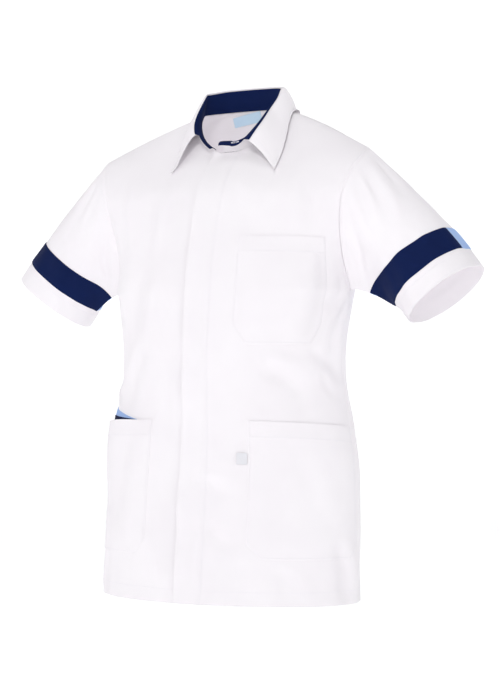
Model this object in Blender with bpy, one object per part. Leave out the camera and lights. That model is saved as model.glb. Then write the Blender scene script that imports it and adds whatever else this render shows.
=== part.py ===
"""Short-sleeved button-front tunic, worn on a general figure.

Metres, +Z up.  The front faces -Y and the wearer's left is +X.  The origin is
midway between the two side-neck points, where the shoulders carry the tunic.
Every cloth piece is a closed wall: a surface worked out from the section
tables below, thickened inwards along its normals.  Neighbouring pieces share
their seam points and stop a little short of the seam.
"""

import math

import bmesh
import bpy
import numpy as np

# Cloth thicknesses and clearances
CLOTH = 0.0014
APPLIED = 0.0010
STAND_CLOTH = 0.0016
LINING_CLOTH = 0.0008
LEAF_CLOTH = 0.0013
TAPE_CLOTH = 0.0008
LABEL_CLOTH = 0.0007
GAP = 0.0003
SEAM_PULL = 0.00028
UNDERLAP_DEPTH = 0.00178

# The folds draw the cloth towards the middle of the body, which is deeper
# behind than in front, and their widths are measured at these radii.
MIDDLE_Y = -0.040
DEPTH_WEIGHT = 1.7
BODY_RADIUS = 0.165
SLEEVE_RADIUS = 0.062
SLEEVE_LENGTH = 0.22

# Neckline, seen from above: half width, front and back reach, front drop
NECK_HALF = 0.069
NECK_FRONT = 0.057
NECK_BACK = 0.052
NECK_DROP = 0.066
NECK_RISE = 0.010

# Below the armholes, one row per section:
# height, half width, front centre y, back centre y, side seam y, side drop
BODY = (
    (-0.722, 0.2040, -0.1815, 0.083, -0.047, 0.002),
    (-0.700, 0.2042, -0.1790, 0.083, -0.047, 0.002),
    (-0.655, 0.2040, -0.1735, 0.082, -0.046, 0.004),
    (-0.633, 0.2034, -0.1710, 0.082, -0.045, 0.005),
    (-0.590, 0.2022, -0.1665, 0.081, -0.043, 0.006),
    (-0.545, 0.2005, -0.1620, 0.079, -0.041, 0.008),
    (-0.500, 0.1972, -0.1580, 0.076, -0.040, 0.010),
    (-0.459, 0.1910, -0.1558, 0.072, -0.039, 0.011),
    (-0.455, 0.1903, -0.1556, 0.071, -0.039, 0.008),
    (-0.451, 0.1896, -0.1555, 0.071, -0.039, 0.005),
    (-0.420, 0.1826, -0.1548, 0.069, -0.038, 0.003),
    (-0.383, 0.1780, -0.1545, 0.068, -0.038, 0.002),
    (-0.347, 0.1786, -0.1540, 0.070, -0.037, 0.003),
    (-0.314, 0.1830, -0.1520, 0.075, -0.036, 0.002),
)

# Front from the armhole's foot up to the neck:
# centre y, centre z, share of the armhole, turn of the section, roundness
CHEST = (
    (-0.1485, -0.272, 0.00, 90, 1.00),
    (-0.1410, -0.234, 0.15, 80, 1.00),
    (-0.1310, -0.195, 0.33, 73, 1.00),
    (-0.1190, -0.156, 0.49, 68, 1.00),
    (-0.1030, -0.118, 0.61, 64, 0.95),
    (-0.0810, -0.090, 0.70, 62, 0.85),
    (-0.0570, -0.066, 0.78, 60, 0.75),
)

# Front beside the neckline: share of the neckline, then as in CHEST
NECK_ROWS = (
    (0.2, 0.83, 55, 0.65),
    (0.4, 0.875, 48, 0.50),
    (0.6, 0.92, 40, 0.40),
    (0.8, 0.96, 30, 0.30),
    (1.0, 1.00, 20, 0.20),
)

# Back from the armhole's foot up to the neck, columns as in CHEST
BLADES = (
    (0.0800, -0.272, 0.00, 90, 1.00),
    (0.0840, -0.234, 0.15, 82, 1.00),
    (0.0865, -0.194, 0.33, 75, 1.00),
    (0.0870, -0.153, 0.49, 70, 1.00),
    (0.0850, -0.110, 0.61, 66, 0.95),
    (0.0800, -0.068, 0.71, 62, 0.85),
    (0.0680, -0.028, 0.79, 58, 0.75),
    (0.0520, 0.010, 0.855, 52, 0.60),
)

# Back beside the neckline: share of the neckline from the centre back
NAPE_ROWS = (
    (0.25, 0.89, 45, 0.50),
    (0.50, 0.925, 38, 0.40),
    (0.75, 0.96, 30, 0.30),
    (1.00, 1.00, 20, 0.20),
)

# Armhole seam from its foot to the shoulder point: share, x, y, z
ARMHOLE_FRONT = (
    (0.00, 0.1910, -0.0360, -0.272),
    (0.15, 0.1870, -0.0500, -0.238),
    (0.33, 0.1860, -0.0640, -0.199),
    (0.50, 0.1900, -0.0755, -0.162),
    (0.65, 0.1965, -0.0790, -0.128),
    (0.80, 0.2075, -0.0670, -0.096),
    (0.92, 0.2160, -0.0480, -0.076),
    (1.00, 0.2205, -0.0340, -0.068),
)
ARMHOLE_BACK = (
    (0.00, 0.1910, -0.0360, -0.272),
    (0.15, 0.1875, -0.0180, -0.238),
    (0.33, 0.1880, -0.0010, -0.198),
    (0.50, 0.1920, 0.0080, -0.161),
    (0.65, 0.1990, 0.0090, -0.128),
    (0.80, 0.2100, 0.0020, -0.095),
    (0.92, 0.2170, -0.0170, -0.076),
    (1.00, 0.2205, -0.0340, -0.068),
)

# Column angles of a front, from under the other front to the side seam
EDGE = 6.2
FRONT_COLUMNS = (-EDGE, 0, EDGE, 11.5, 17, 24, 29, 37, 44, 52, 59, 66.5, 74, 82, 88, 90)
BACK_COLUMNS = FRONT_COLUMNS[1:]
SPREAD_FROM = 66.5

# Folds: start angle and height, end angle and height, half width, depth.
# Angles run from the front centre, + to the wearer's left, 180 at the back.
FOLDS = (
    (-33, -0.140, -45, -0.330, 0.026, 0.0040),
    (-36, -0.365, -46, -0.450, 0.022, 0.0035),
    (34, -0.385, 56, -0.430, 0.020, 0.0035),
    (66, -0.230, 60, -0.340, 0.026, 0.0040),
    (72, -0.640, 80, -0.722, 0.022, 0.0040),
    (-74, -0.560, -82, -0.722, 0.024, 0.0040),
    (150, -0.330, 118, -0.420, 0.026, 0.0050),
    (-150, -0.340, -120, -0.410, 0.026, 0.0050),
    (165, -0.480, 160, -0.722, 0.030, 0.0045),
    (-152, -0.500, -158, -0.722, 0.030, 0.0045),
)

# Sleeve: open end (middle, half way across to its top, half way to its back),
# coloured bands and hem measured up from it, how much the cap is carried
# outwards and upwards and the underarm upwards, and the middle at the seam
CUFF_CENTRE = (0.3285, -0.0120, -0.280)
CUFF_ACROSS = (0.0530, 0.0, 0.0400)
CUFF_BACK = (0.0, 0.0600, -0.0060)
BAND_LOW = 0.033
BAND_HIGH = 0.073
CUFF_HEM = 0.026
SLEEVE_STEPS = (0.0, 0.25, 0.5, 0.75)
CAP_OUT = 0.08
CAP_UP = 0.02
UNDERARM_UP = 0.55
CUFF_DRIVE = 0.95
SEAM_MIDDLE = (0.20, -0.035, -0.17)

# Sleeve folds: angle round the sleeve (0 top, 90 front) and distance from the
# seam at the start, the same at the end, half width, depth
SLEEVE_FOLDS = (
    (60, 0.011, 130, 0.165, 0.018, 0.004),
    (110, 0.000, 165, 0.121, 0.016, 0.004),
    (300, 0.011, 230, 0.165, 0.018, 0.004),
)

# Pockets: first and last column, mouth row height, bottom, corner start
CHEST_POCKET = (17, 66.5, -0.195, -0.347, -0.314)
LOWER_POCKET = (24, 88, -0.459, -0.655, -0.633)
GAPE_RIGHT = 0.0085
GAPE_LEFT = 0.0025
GAPE_DEPTH = 0.120
GAPE_FROM = 30
TAPE_FROM = 44

# Collar stand, one row per neckline point from the wearer's left end to the
# right end: height, lean at the foot, lean at the top (degrees outwards)
STAND = (
    (0.014, 72, 120),
    (0.020, 62, 112),
    (0.024, 45, 80),
    (0.028, 14, 26),
    (0.028, -8, -6),
    (0.029, -12, -12),
    (0.030, -13, -13),
    (0.031, -13, -13),
    (0.032, -15, -15),
    (0.032, -16, -16),
    (0.032, -16, -16),
    (0.032, -16, -16),
    (0.032, -15, -15),
    (0.031, -13, -13),
    (0.030, -10, -10),
    (0.029, -4, 0),
    (0.027, 10, 22),
    (0.024, 30, 52),
    (0.017, 40, 76),
)
STAND_RISE = 0.0006
STAND_STEPS = 4
LINING_GAP = 0.0005
LINING_PULL = 0.0008
LEAF_FROM = 2
LEAF_TO = 17

# Free edge of the collar leaf under each of the stand's columns
LEAF_EDGE = (
    (0.0910, -0.0820, -0.100),
    (0.0925, -0.0620, -0.072),
    (0.0905, -0.0430, -0.045),
    (0.0860, -0.0200, -0.020),
    (0.0820, 0.0040, -0.006),
    (0.0745, 0.0320, -0.004),
    (0.0570, 0.0560, -0.004),
    (0.0310, 0.0710, -0.004),
    (0.0, 0.0760, -0.004),
    (-0.0310, 0.0710, -0.004),
    (-0.0570, 0.0560, -0.004),
    (-0.0745, 0.0320, -0.004),
    (-0.0820, 0.0040, -0.006),
    (-0.0845, -0.0230, -0.026),
    (-0.0835, -0.0500, -0.060),
    (-0.0790, -0.0820, -0.100),
)
LEAF_STEPS = (0.0, 0.09, 0.2, 0.33, 0.5, 0.66, 0.83, 1.0)
LEAF_CLEAR = 0.0054
LABEL_LIFT = 0.0013
BUTTON_LIFT = 0.0013

COLOURS = {
    "white": (0.88, 0.87, 0.90),
    "navy": (0.010, 0.022, 0.085),
    "light": (0.42, 0.56, 0.84),
    "button": (0.80, 0.80, 0.80),
}


def curve(at, knots, values):
    """Smooth line through the knots, read at the places asked for."""
    at = np.asarray(at, float)
    knots = np.asarray(knots, float)
    values = np.asarray(values, float)
    slopes = np.gradient(values, knots, axis=0)
    i = np.clip(np.searchsorted(knots, at, side="right") - 1, 0, len(knots) - 2)
    step = knots[i + 1] - knots[i]
    t = np.clip((at - knots[i]) / step, 0.0, 1.0)
    if values.ndim > 1:
        t = t[..., None]
        step = step[..., None]
    a = (1 + 2 * t) * (1 - t) ** 2 * values[i] + t * (1 - t) ** 2 * slopes[i] * step
    b = t * t * (3 - 2 * t) * values[i + 1] + t * t * (t - 1) * slopes[i + 1] * step
    return a + b


def ramp(value, low, high):
    """0 below low, 1 above high and an even bend between."""
    t = min(1.0, max(0.0, (value - low) / (high - low)))
    return t * t * (3 - 2 * t)


def unit(v):
    return v / max(float(np.linalg.norm(v)), 1e-12)


def armhole(table, share):
    rows = np.asarray(table)
    return curve(share, rows[:, 0], rows[:, 1:])


def neck_point(share, back):
    """Neckline point, from the centre (0) to the side of the neck (1)."""
    angle = math.radians(90 * share)
    x = NECK_HALF * math.sin(angle)
    if back:
        return np.array((x, NECK_BACK * math.cos(angle), NECK_RISE * math.cos(angle)))
    z = -NECK_DROP * max(math.cos(angle), 0.0) ** 1.2
    return np.array((x, -NECK_FRONT * math.cos(angle), z))


def section_point(inner, outer, turn, roundness, degrees):
    """Point of one section, from its centre end to its side or armhole end."""
    share = math.sin(math.radians(degrees))
    if degrees > SPREAD_FROM:
        start = math.sin(math.radians(SPREAD_FROM))
        even = start + (1 - start) * (degrees - SPREAD_FROM) / (90 - SPREAD_FROM)
        share += (even - share) * min(1.0, (90 - turn) / 17)
    full = math.radians(turn)
    part = math.asin(max(-1.0, min(1.0, share * math.sin(full))))
    if turn > 89.9:
        part = math.radians(degrees)
    bent = (1 - math.cos(part)) / (1 - math.cos(full))
    mix = (1 - roundness) * abs(share) + roundness * bent
    x = inner[0] + (outer[0] - inner[0]) * share
    y = inner[1] + (outer[1] - inner[1]) * mix
    z = inner[2] + (outer[2] - inner[2]) * mix
    return np.array((x, y, z))


def front_sections():
    """(inner end, outer end, turn, roundness) for each row of a front."""
    rows = []
    for z, half, front, _, side, drop in BODY:
        inner = np.array((0.0, front, z))
        rows.append((inner, np.array((half, side, z - drop)), 90, 1.0))
    for y, z, share, turn, roundness in CHEST:
        inner = np.array((0.0, y, z))
        rows.append((inner, armhole(ARMHOLE_FRONT, share), turn, roundness))
    for tau, share, turn, roundness in NECK_ROWS:
        inner = neck_point(tau, False)
        rows.append((inner, armhole(ARMHOLE_FRONT, share), turn, roundness))
    return rows


def back_sections():
    """The same for the back; its side ends are the fronts' side ends."""
    rows = []
    for z, half, _, back, side, drop in BODY:
        inner = np.array((0.0, back, z))
        rows.append((inner, np.array((half, side, z - drop)), 90, 1.0))
    for y, z, share, turn, roundness in BLADES:
        inner = np.array((0.0, y, z))
        rows.append((inner, armhole(ARMHOLE_BACK, share), turn, roundness))
    for tau, share, turn, roundness in NAPE_ROWS:
        inner = neck_point(tau, True)
        rows.append((inner, armhole(ARMHOLE_BACK, share), turn, roundness))
    return rows


def fold_depth(angle, height, folds, radius, turn=False):
    """How far the folds draw the cloth in at one place."""
    depth = 0.0
    for a0, h0, a1, h1, half, deep in folds:
        away = angle - a0
        along = a1 - a0
        if turn:
            away = (away + 180) % 360 - 180
            along = (along + 180) % 360 - 180
        p = np.array((math.radians(away) * radius, height - h0))
        line = np.array((math.radians(along) * radius, h1 - h0))
        length = float(np.linalg.norm(line))
        t = float(p @ line) / length**2
        off = float(np.linalg.norm(p - min(1.0, max(0.0, t)) * line))
        fade = ramp(t, -0.25, 0.2) * (1 - ramp(t, 0.75, 1.25))
        depth += deep * math.exp(-((off / half) ** 2)) * fade
    return depth


def outwards(point):
    """Level direction away from the middle of the body."""
    return unit(np.array((point[0], (point[1] - MIDDLE_Y) * DEPTH_WEIGHT, 0.0)))


def folded(point, angle):
    """A body point drawn in by the folds; seams above the waist stay put."""
    depth = fold_depth(angle, point[2], FOLDS, BODY_RADIUS)
    keep = 1 - ramp(point[2], -0.30, -0.22) * ramp(abs(point[0]), 0.150, 0.185)
    return point - outwards(point) * depth * keep


def front_grid(side):
    """Points of a front: rows from hem to shoulder, columns to the side seam."""
    grid = []
    for inner, outer, turn, roundness in front_sections():
        row = []
        for degrees in FRONT_COLUMNS:
            p = section_point(inner, outer, turn, roundness, degrees)
            p = np.array((side * p[0], p[1], p[2]))
            row.append(folded(p, side * degrees))
        grid.append(row)
    return np.array(grid)


def back_grid():
    """Points of the back, from the right side seam to the left one.

    The centre column is there twice, because it parts at the neckline.
    """
    grid = []
    columns = [(-1, c) for c in reversed(BACK_COLUMNS)] + [(1, c) for c in BACK_COLUMNS]
    for inner, outer, turn, roundness in back_sections():
        row = []
        for side, degrees in columns:
            p = section_point(inner, outer, turn, roundness, degrees)
            p = np.array((side * p[0], p[1], p[2]))
            row.append(folded(p, side * (180 - degrees)))
        grid.append(row)
    return np.array(grid)


def sleeve_grid(side, seam):
    """Rings of a sleeve from the armhole seam to its open end."""
    count = len(seam)
    half = count // 2
    centre = np.array(CUFF_CENTRE)
    across = np.array(CUFF_ACROSS)
    behind = np.array(CUFF_BACK)
    axis = unit(np.cross(behind, across))
    lines = []
    for k in range(count):
        start = seam[k] * (side, 1, 1)
        share = k / half if k <= half else (count - k) / half
        angle = math.radians(180 * share)
        reach = -math.sin(angle) if k <= half else math.sin(angle)
        end = centre + across * math.cos(angle) + behind * reach
        length = float(np.linalg.norm(end - start))
        lift = 0.5 * (1 + math.cos(angle))
        cap = np.array((CAP_OUT * lift, 0, CAP_UP * lift))
        underarm = np.array((0, 0, UNDERARM_UP * (1 - lift) ** 4))
        first = unit((end - start) / length + cap + underarm)
        whole = math.degrees(angle) if k <= half else 360 - math.degrees(angle)
        line = []
        stops = [s * (1 - BAND_HIGH / length) for s in SLEEVE_STEPS]
        stops += [1 - BAND_HIGH / length, 1 - 0.5 * (BAND_HIGH + BAND_LOW) / length]
        stops += [1 - BAND_LOW / length, 1 - CUFF_HEM / length, 1.0]
        for t in stops:
            h0 = (1 + 2 * t) * (1 - t) ** 2
            h1 = t * (1 - t) ** 2
            h2 = t * t * (3 - 2 * t)
            h3 = t * t * (t - 1)
            p = h0 * start + h1 * first * length + h2 * end + h3 * axis * length * CUFF_DRIVE
            depth = fold_depth(whole, t * SLEEVE_LENGTH, SLEEVE_FOLDS, SLEEVE_RADIUS, True)
            middle = centre * t + np.array(SEAM_MIDDLE) * (1 - t)
            p = p - unit(p - middle) * depth * ramp(t, 0.02, 0.2)
            line.append(p * (side, 1, 1))
        lines.append(line)
    return np.array(lines).transpose(1, 0, 2)


class Cloth:
    """All cloth surfaces together, so that shared seam points share normals."""

    def __init__(self):
        self.sums = {}

    def key(self, p):
        return tuple(int(round(c * 1e6)) for c in p)

    def add(self, grid, cells, flip):
        for tri in triangles(cells, flip):
            a, b, c = (grid[i] for i in tri)
            n = np.cross(b - a, c - a)
            for p in (a, b, c):
                k = self.key(p)
                self.sums[k] = self.sums.get(k, np.zeros(3)) + n

    def normals(self, grid):
        out = np.zeros_like(grid)
        for i in np.ndindex(grid.shape[:2]):
            out[i] = unit(self.sums.get(self.key(grid[i]), np.zeros(3)))
        return out


def cells_of(rows, columns, wrap=0, keep=None):
    """Corner indices of the four-sided cells between rows and columns."""
    cells = []
    for r in range(rows[0], rows[1]):
        for c in range(columns[0], columns[1]):
            if keep is None or keep(r, c):
                d = (c + 1) % wrap if wrap else c + 1
                cells.append([(r, c), (r, d), (r + 1, d), (r + 1, c)])
    return cells


def triangles(cells, flip):
    """Each cell cut the same way, so that layers stay parallel."""
    out = []
    for cell in cells:
        if len(cell) == 3:
            tris = [cell]
        else:
            a, b, c, d = cell
            tris = [(a, b, c), (a, c, d)]
        for tri in tris:
            out.append(tuple(reversed(tri)) if flip else tuple(tri))
    return out


def wall(name, grid, normals, cells, flip, thickness, colour, lift=0.0, pull=SEAM_PULL):
    """Closed wall on the cells of a grid, lifted off it and thickened inwards."""
    same = {}
    tris = []
    for tri in triangles(cells, flip):
        tris.append(tuple(same.setdefault(tuple(grid[i].round(7)), i) for i in tri))
    used = sorted({i for tri in tris for i in tri})
    spot = {i: n for n, i in enumerate(used)}
    edges = {}
    for tri in tris:
        for i, j in ((tri[0], tri[1]), (tri[1], tri[2]), (tri[2], tri[0])):
            edges[(i, j)] = edges.get((i, j), 0) + 1
    rim = [e for e in edges if (e[1], e[0]) not in edges]
    inward = {}
    for i, j in rim:
        for k in (i, j):
            inward.setdefault(k, []).append(unit(np.cross(normals[k], grid[j] - grid[i])))
    outer = []
    inner = []
    for i in used:
        p = grid[i]
        n = normals[i]
        if i in inward:
            both = sum(inward[i])
            spread = 1 + float(inward[i][0] @ inward[i][-1])
            p = p + both / max(spread, 0.5) * pull
        up = lift[i] if isinstance(lift, np.ndarray) else lift
        outer.append(p + n * up)
        inner.append(p + n * (up - thickness))
    count = len(used)
    faces = [tuple(spot[i] for i in tri) for tri in tris]
    faces += [tuple(spot[i] + count for i in reversed(tri)) for tri in tris]
    for i, j in rim:
        a, b = spot[i], spot[j]
        if tuple(grid[i].round(6)) < tuple(grid[j].round(6)):
            faces += [(b, a, b + count), (a, a + count, b + count)]
        else:
            faces += [(b, a, a + count), (b, a + count, b + count)]
    return make_object(name, outer + inner, faces, colour)


def make_object(name, points, faces, colour):
    mesh = bpy.data.meshes.new(name)
    mesh.from_pydata([tuple(float(c) for c in p) for p in points], [], faces)
    mesh.update()
    made = bmesh.new()
    made.from_mesh(mesh)
    bmesh.ops.remove_doubles(made, verts=made.verts, dist=0.000001)
    bmesh.ops.recalc_face_normals(made, faces=made.faces)
    made.to_mesh(mesh)
    made.free()
    thing = bpy.data.objects.new(name, mesh)
    bpy.context.scene.collection.objects.link(thing)
    thing.data.materials.append(material(name, colour))
    return thing


def material(name, colour):
    made = bpy.data.materials.new(name)
    made.use_nodes = True
    shader = made.node_tree.nodes["Principled BSDF"]
    shader.inputs["Base Color"].default_value = (*COLOURS[colour], 1.0)
    shader.inputs["Roughness"].default_value = 0.35 if colour == "button" else 0.85
    return made


def local_normals(grid):
    """Normals of a free surface, from its neighbours in both directions."""
    n = np.cross(np.gradient(grid, axis=1), np.gradient(grid, axis=0))
    return n / np.linalg.norm(n, axis=2, keepdims=True)


def pocket_cells(heights, first, last, top, low, corner):
    """Cells of a pocket with its two lower corners cut to triangles."""
    r_low, r_corner, r_top = (heights.index(h) for h in (low, corner, top))
    c0, c1 = FRONT_COLUMNS.index(first), FRONT_COLUMNS.index(last)
    cells = cells_of((r_low, r_top), (c0, c1))
    out = []
    for cell in cells:
        r, c = cell[0]
        if r < r_corner and c == c0:
            out.append([cell[1], cell[2], cell[3]])
        elif r < r_corner and c == c1 - 1:
            out.append([cell[0], cell[2], cell[3]])
        else:
            out.append(cell)
    return out


def gape_lift(grid, amount):
    """Lift of a lower pocket: sewn round, standing open at its mouth."""
    lift = np.full(grid.shape[:2], GAP + APPLIED)
    for i in np.ndindex(grid.shape[:2]):
        degrees = FRONT_COLUMNS[i[1]]
        below = ramp(LOWER_POCKET[2] - grid[i][2] - 0.008, -0.02, GAPE_DEPTH)
        across = (degrees - GAPE_FROM) / (LOWER_POCKET[1] - GAPE_FROM)
        wide = math.sin(math.pi * min(1.0, max(0.0, across))) ** 1.3
        lift[i] += amount * wide * (1 - below)
    return lift


def build_body(cloth):
    """Fronts, back and sleeves; returns their grids for what lies on them."""
    left = front_grid(1)
    right = front_grid(-1)
    back = back_grid()
    neck = len(BODY) + len(CHEST) - 1
    centre = FRONT_COLUMNS.index(0)
    last = len(FRONT_COLUMNS) - 1
    rows = len(BODY) + len(CHEST) + len(NECK_ROWS) - 1
    front_cells = cells_of((0, rows), (0, last), keep=lambda r, c: r < neck or c >= centre)
    back_rows = len(BODY) + len(BLADES) + len(NAPE_ROWS) - 1
    half = len(BACK_COLUMNS)
    span = (0, 2 * half - 1)
    back_cells = cells_of((0, back_rows), span, keep=lambda r, c: c != half - 1)
    back_cells = [c[1:] + c[:1] if c[0][1] < half else c for c in back_cells]
    cloth.add(left, front_cells, False)
    cloth.add(right, front_cells, True)
    cloth.add(back, back_cells, True)
    foot = len(BODY)
    seams = {}
    for side, front, column in ((1, left, 2 * half - 1), (-1, right, 0)):
        down = [front[r][last] for r in range(rows, foot - 1, -1)]
        up = [back[r][column] for r in range(foot + 1, back_rows)]
        seams[side] = np.array(down + up)
    sleeves = {side: sleeve_grid(side, seams[side]) for side in (1, -1)}
    count = len(seams[1])
    sleeve_rows = len(SLEEVE_STEPS) + 4
    sleeve_cells = cells_of((0, sleeve_rows), (0, count), wrap=count)
    for side in (1, -1):
        cloth.add(sleeves[side], sleeve_cells, side < 0)
    return left, right, back, front_cells, back_cells, sleeves, sleeve_cells


def neck_columns(left, right, back):
    """Foot points of the collar stand, from its left end to its right end."""
    neck = len(BODY) + len(CHEST) - 1
    top = neck + len(NECK_ROWS)
    half = len(BACK_COLUMNS)
    nape = len(BODY) + len(BLADES) - 1
    back_top = nape + len(NAPE_ROWS)
    points = [left[neck][0], left[neck][1]]
    points += [left[r][1] for r in range(neck + 1, top + 1)]
    points += [back[r][half] for r in range(back_top - 1, nape - 1, -1)]
    points += [back[r][half - 1] for r in range(nape + 1, back_top)]
    points += [right[r][1] for r in range(top, neck, -1)]
    return np.array(points)


def stand_grid(feet):
    """Collar stand surface: each section leans and curls outwards."""
    grid = []
    for j, foot in enumerate(feet):
        height, low, high = STAND[j]
        out = unit(np.array((foot[0] / NECK_HALF**2, foot[1] / NECK_FRONT**2, 0.0)))
        p = foot + np.array((0.0, 0.0, STAND_RISE + 0.001 * (j < 2)))
        line = [p]
        for s in range(STAND_STEPS):
            lean = math.radians(low + (high - low) * (s + 0.5) / STAND_STEPS)
            p = p + (out * math.sin(lean) + np.array((0, 0, math.cos(lean)))) * height / STAND_STEPS
            line.append(p)
        grid.append(line)
    return np.array(grid).transpose(1, 0, 2)


def leaf_grid(stand, body_points, body_normals):
    """Collar leaf: rises from the stand, rolls over and falls to its edge."""
    lines = []
    for j in range(LEAF_FROM, LEAF_TO + 1):
        top = stand[-1][j]
        rise = unit(stand[-1][j] - stand[-2][j])
        edge = np.array(LEAF_EDGE[j - LEAF_FROM])
        fall = edge - top
        level = unit(np.array((fall[0], fall[1], 0.0)))
        start = top + rise * (GAP + 0.0002)
        one = start + rise * 0.009
        two = start + fall * 0.38 + level * 0.006 + np.array((0, 0, 0.008))
        line = []
        for t in LEAF_STEPS:
            p = (1 - t) ** 3 * start + 3 * t * (1 - t) ** 2 * one
            p = p + 3 * t * t * (1 - t) * two + t**3 * edge
            line.append(p)
        lines.append(line)
    grid = np.array(lines).transpose(1, 0, 2)
    for i in np.ndindex(grid.shape[:2]):
        if i[0] < 2:
            continue
        for _ in range(3):
            d = np.linalg.norm(body_points - grid[i], axis=1)
            k = int(np.argmin(d))
            out = float((grid[i] - body_points[k]) @ body_normals[k])
            if out < LEAF_CLEAR:
                grid[i] += body_normals[k] * (LEAF_CLEAR - out)
    return grid


def fine_surface(grid, normals, steps=4):
    """Surface points and normals between the grid's own, for clearances."""
    points = []
    directions = []
    for r in range(grid.shape[0] - 1):
        for c in range(grid.shape[1] - 1):
            for a in np.linspace(0, 1, steps, endpoint=False):
                for b in np.linspace(0, 1, steps, endpoint=False):
                    weights = ((1 - a) * (1 - b), (1 - a) * b, a * (1 - b), a * b)
                    corners = ((r, c), (r, c + 1), (r + 1, c), (r + 1, c + 1))
                    points.append(sum(w * grid[i] for w, i in zip(weights, corners)))
                    directions.append(unit(sum(w * normals[i] for w, i in zip(weights, corners))))
    return points, directions


def button(name, at, facing, radius=0.0055, thick=0.0022):
    """Round button with a dished face, four holes left to the looks."""
    facing = unit(facing)
    side = unit(np.cross(facing, (0.0, 0.0, 1.0)))
    other = np.cross(facing, side)
    profile = ((0.0, 0.0), (0.85, 0.0), (1.0, 0.35), (1.0, 0.8), (0.88, 1.0), (0.66, 0.72), (0.0, 0.72))
    count = 20
    points = [at]
    for share, height in profile[1:-1]:
        for k in range(count):
            a = 2 * math.pi * k / count
            ring = side * math.cos(a) + other * math.sin(a)
            points.append(at + ring * radius * share + facing * thick * height)
    points.append(at + facing * thick * profile[-1][1])
    faces = []
    rings = len(profile) - 2
    for k in range(count):
        n = (k + 1) % count
        faces.append((0, 1 + n, 1 + k))
        for r in range(rings - 1):
            a, b = 1 + r * count, 1 + (r + 1) * count
            faces.append((a + k, a + n, b + n, b + k))
        last = 1 + (rings - 1) * count
        faces.append((last + k, last + n, len(points) - 1))
    return make_object(name, points, faces, "button")


def on_panel(grid, normals, row, column, lift):
    """Point over a panel, at a fractional row and column of its grid."""
    r, c = int(row), int(column)
    a, b = row - r, column - c
    corners = ((r, c), (r, c + 1), (r + 1, c), (r + 1, c + 1))
    weights = ((1 - a) * (1 - b), (1 - a) * b, a * (1 - b), a * b)
    p = sum(w * grid[i] for w, i in zip(weights, corners))
    n = unit(sum(w * normals[i] for w, i in zip(weights, corners)))
    return p + n * lift, n


def label(name, grid, normals, rows, columns, lift, thickness, colour, flip):
    """Small cloth label lying along a panel."""
    points = np.zeros((len(rows), len(columns), 3))
    facing = np.zeros_like(points)
    for i, row in enumerate(rows):
        for j, column in enumerate(columns):
            points[i][j], facing[i][j] = on_panel(grid, normals, row, column, lift)
    cells = cells_of((0, len(rows) - 1), (0, len(columns) - 1))
    return wall(name, points, facing, cells, flip, thickness, colour, 0.0, 0.0)


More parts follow.
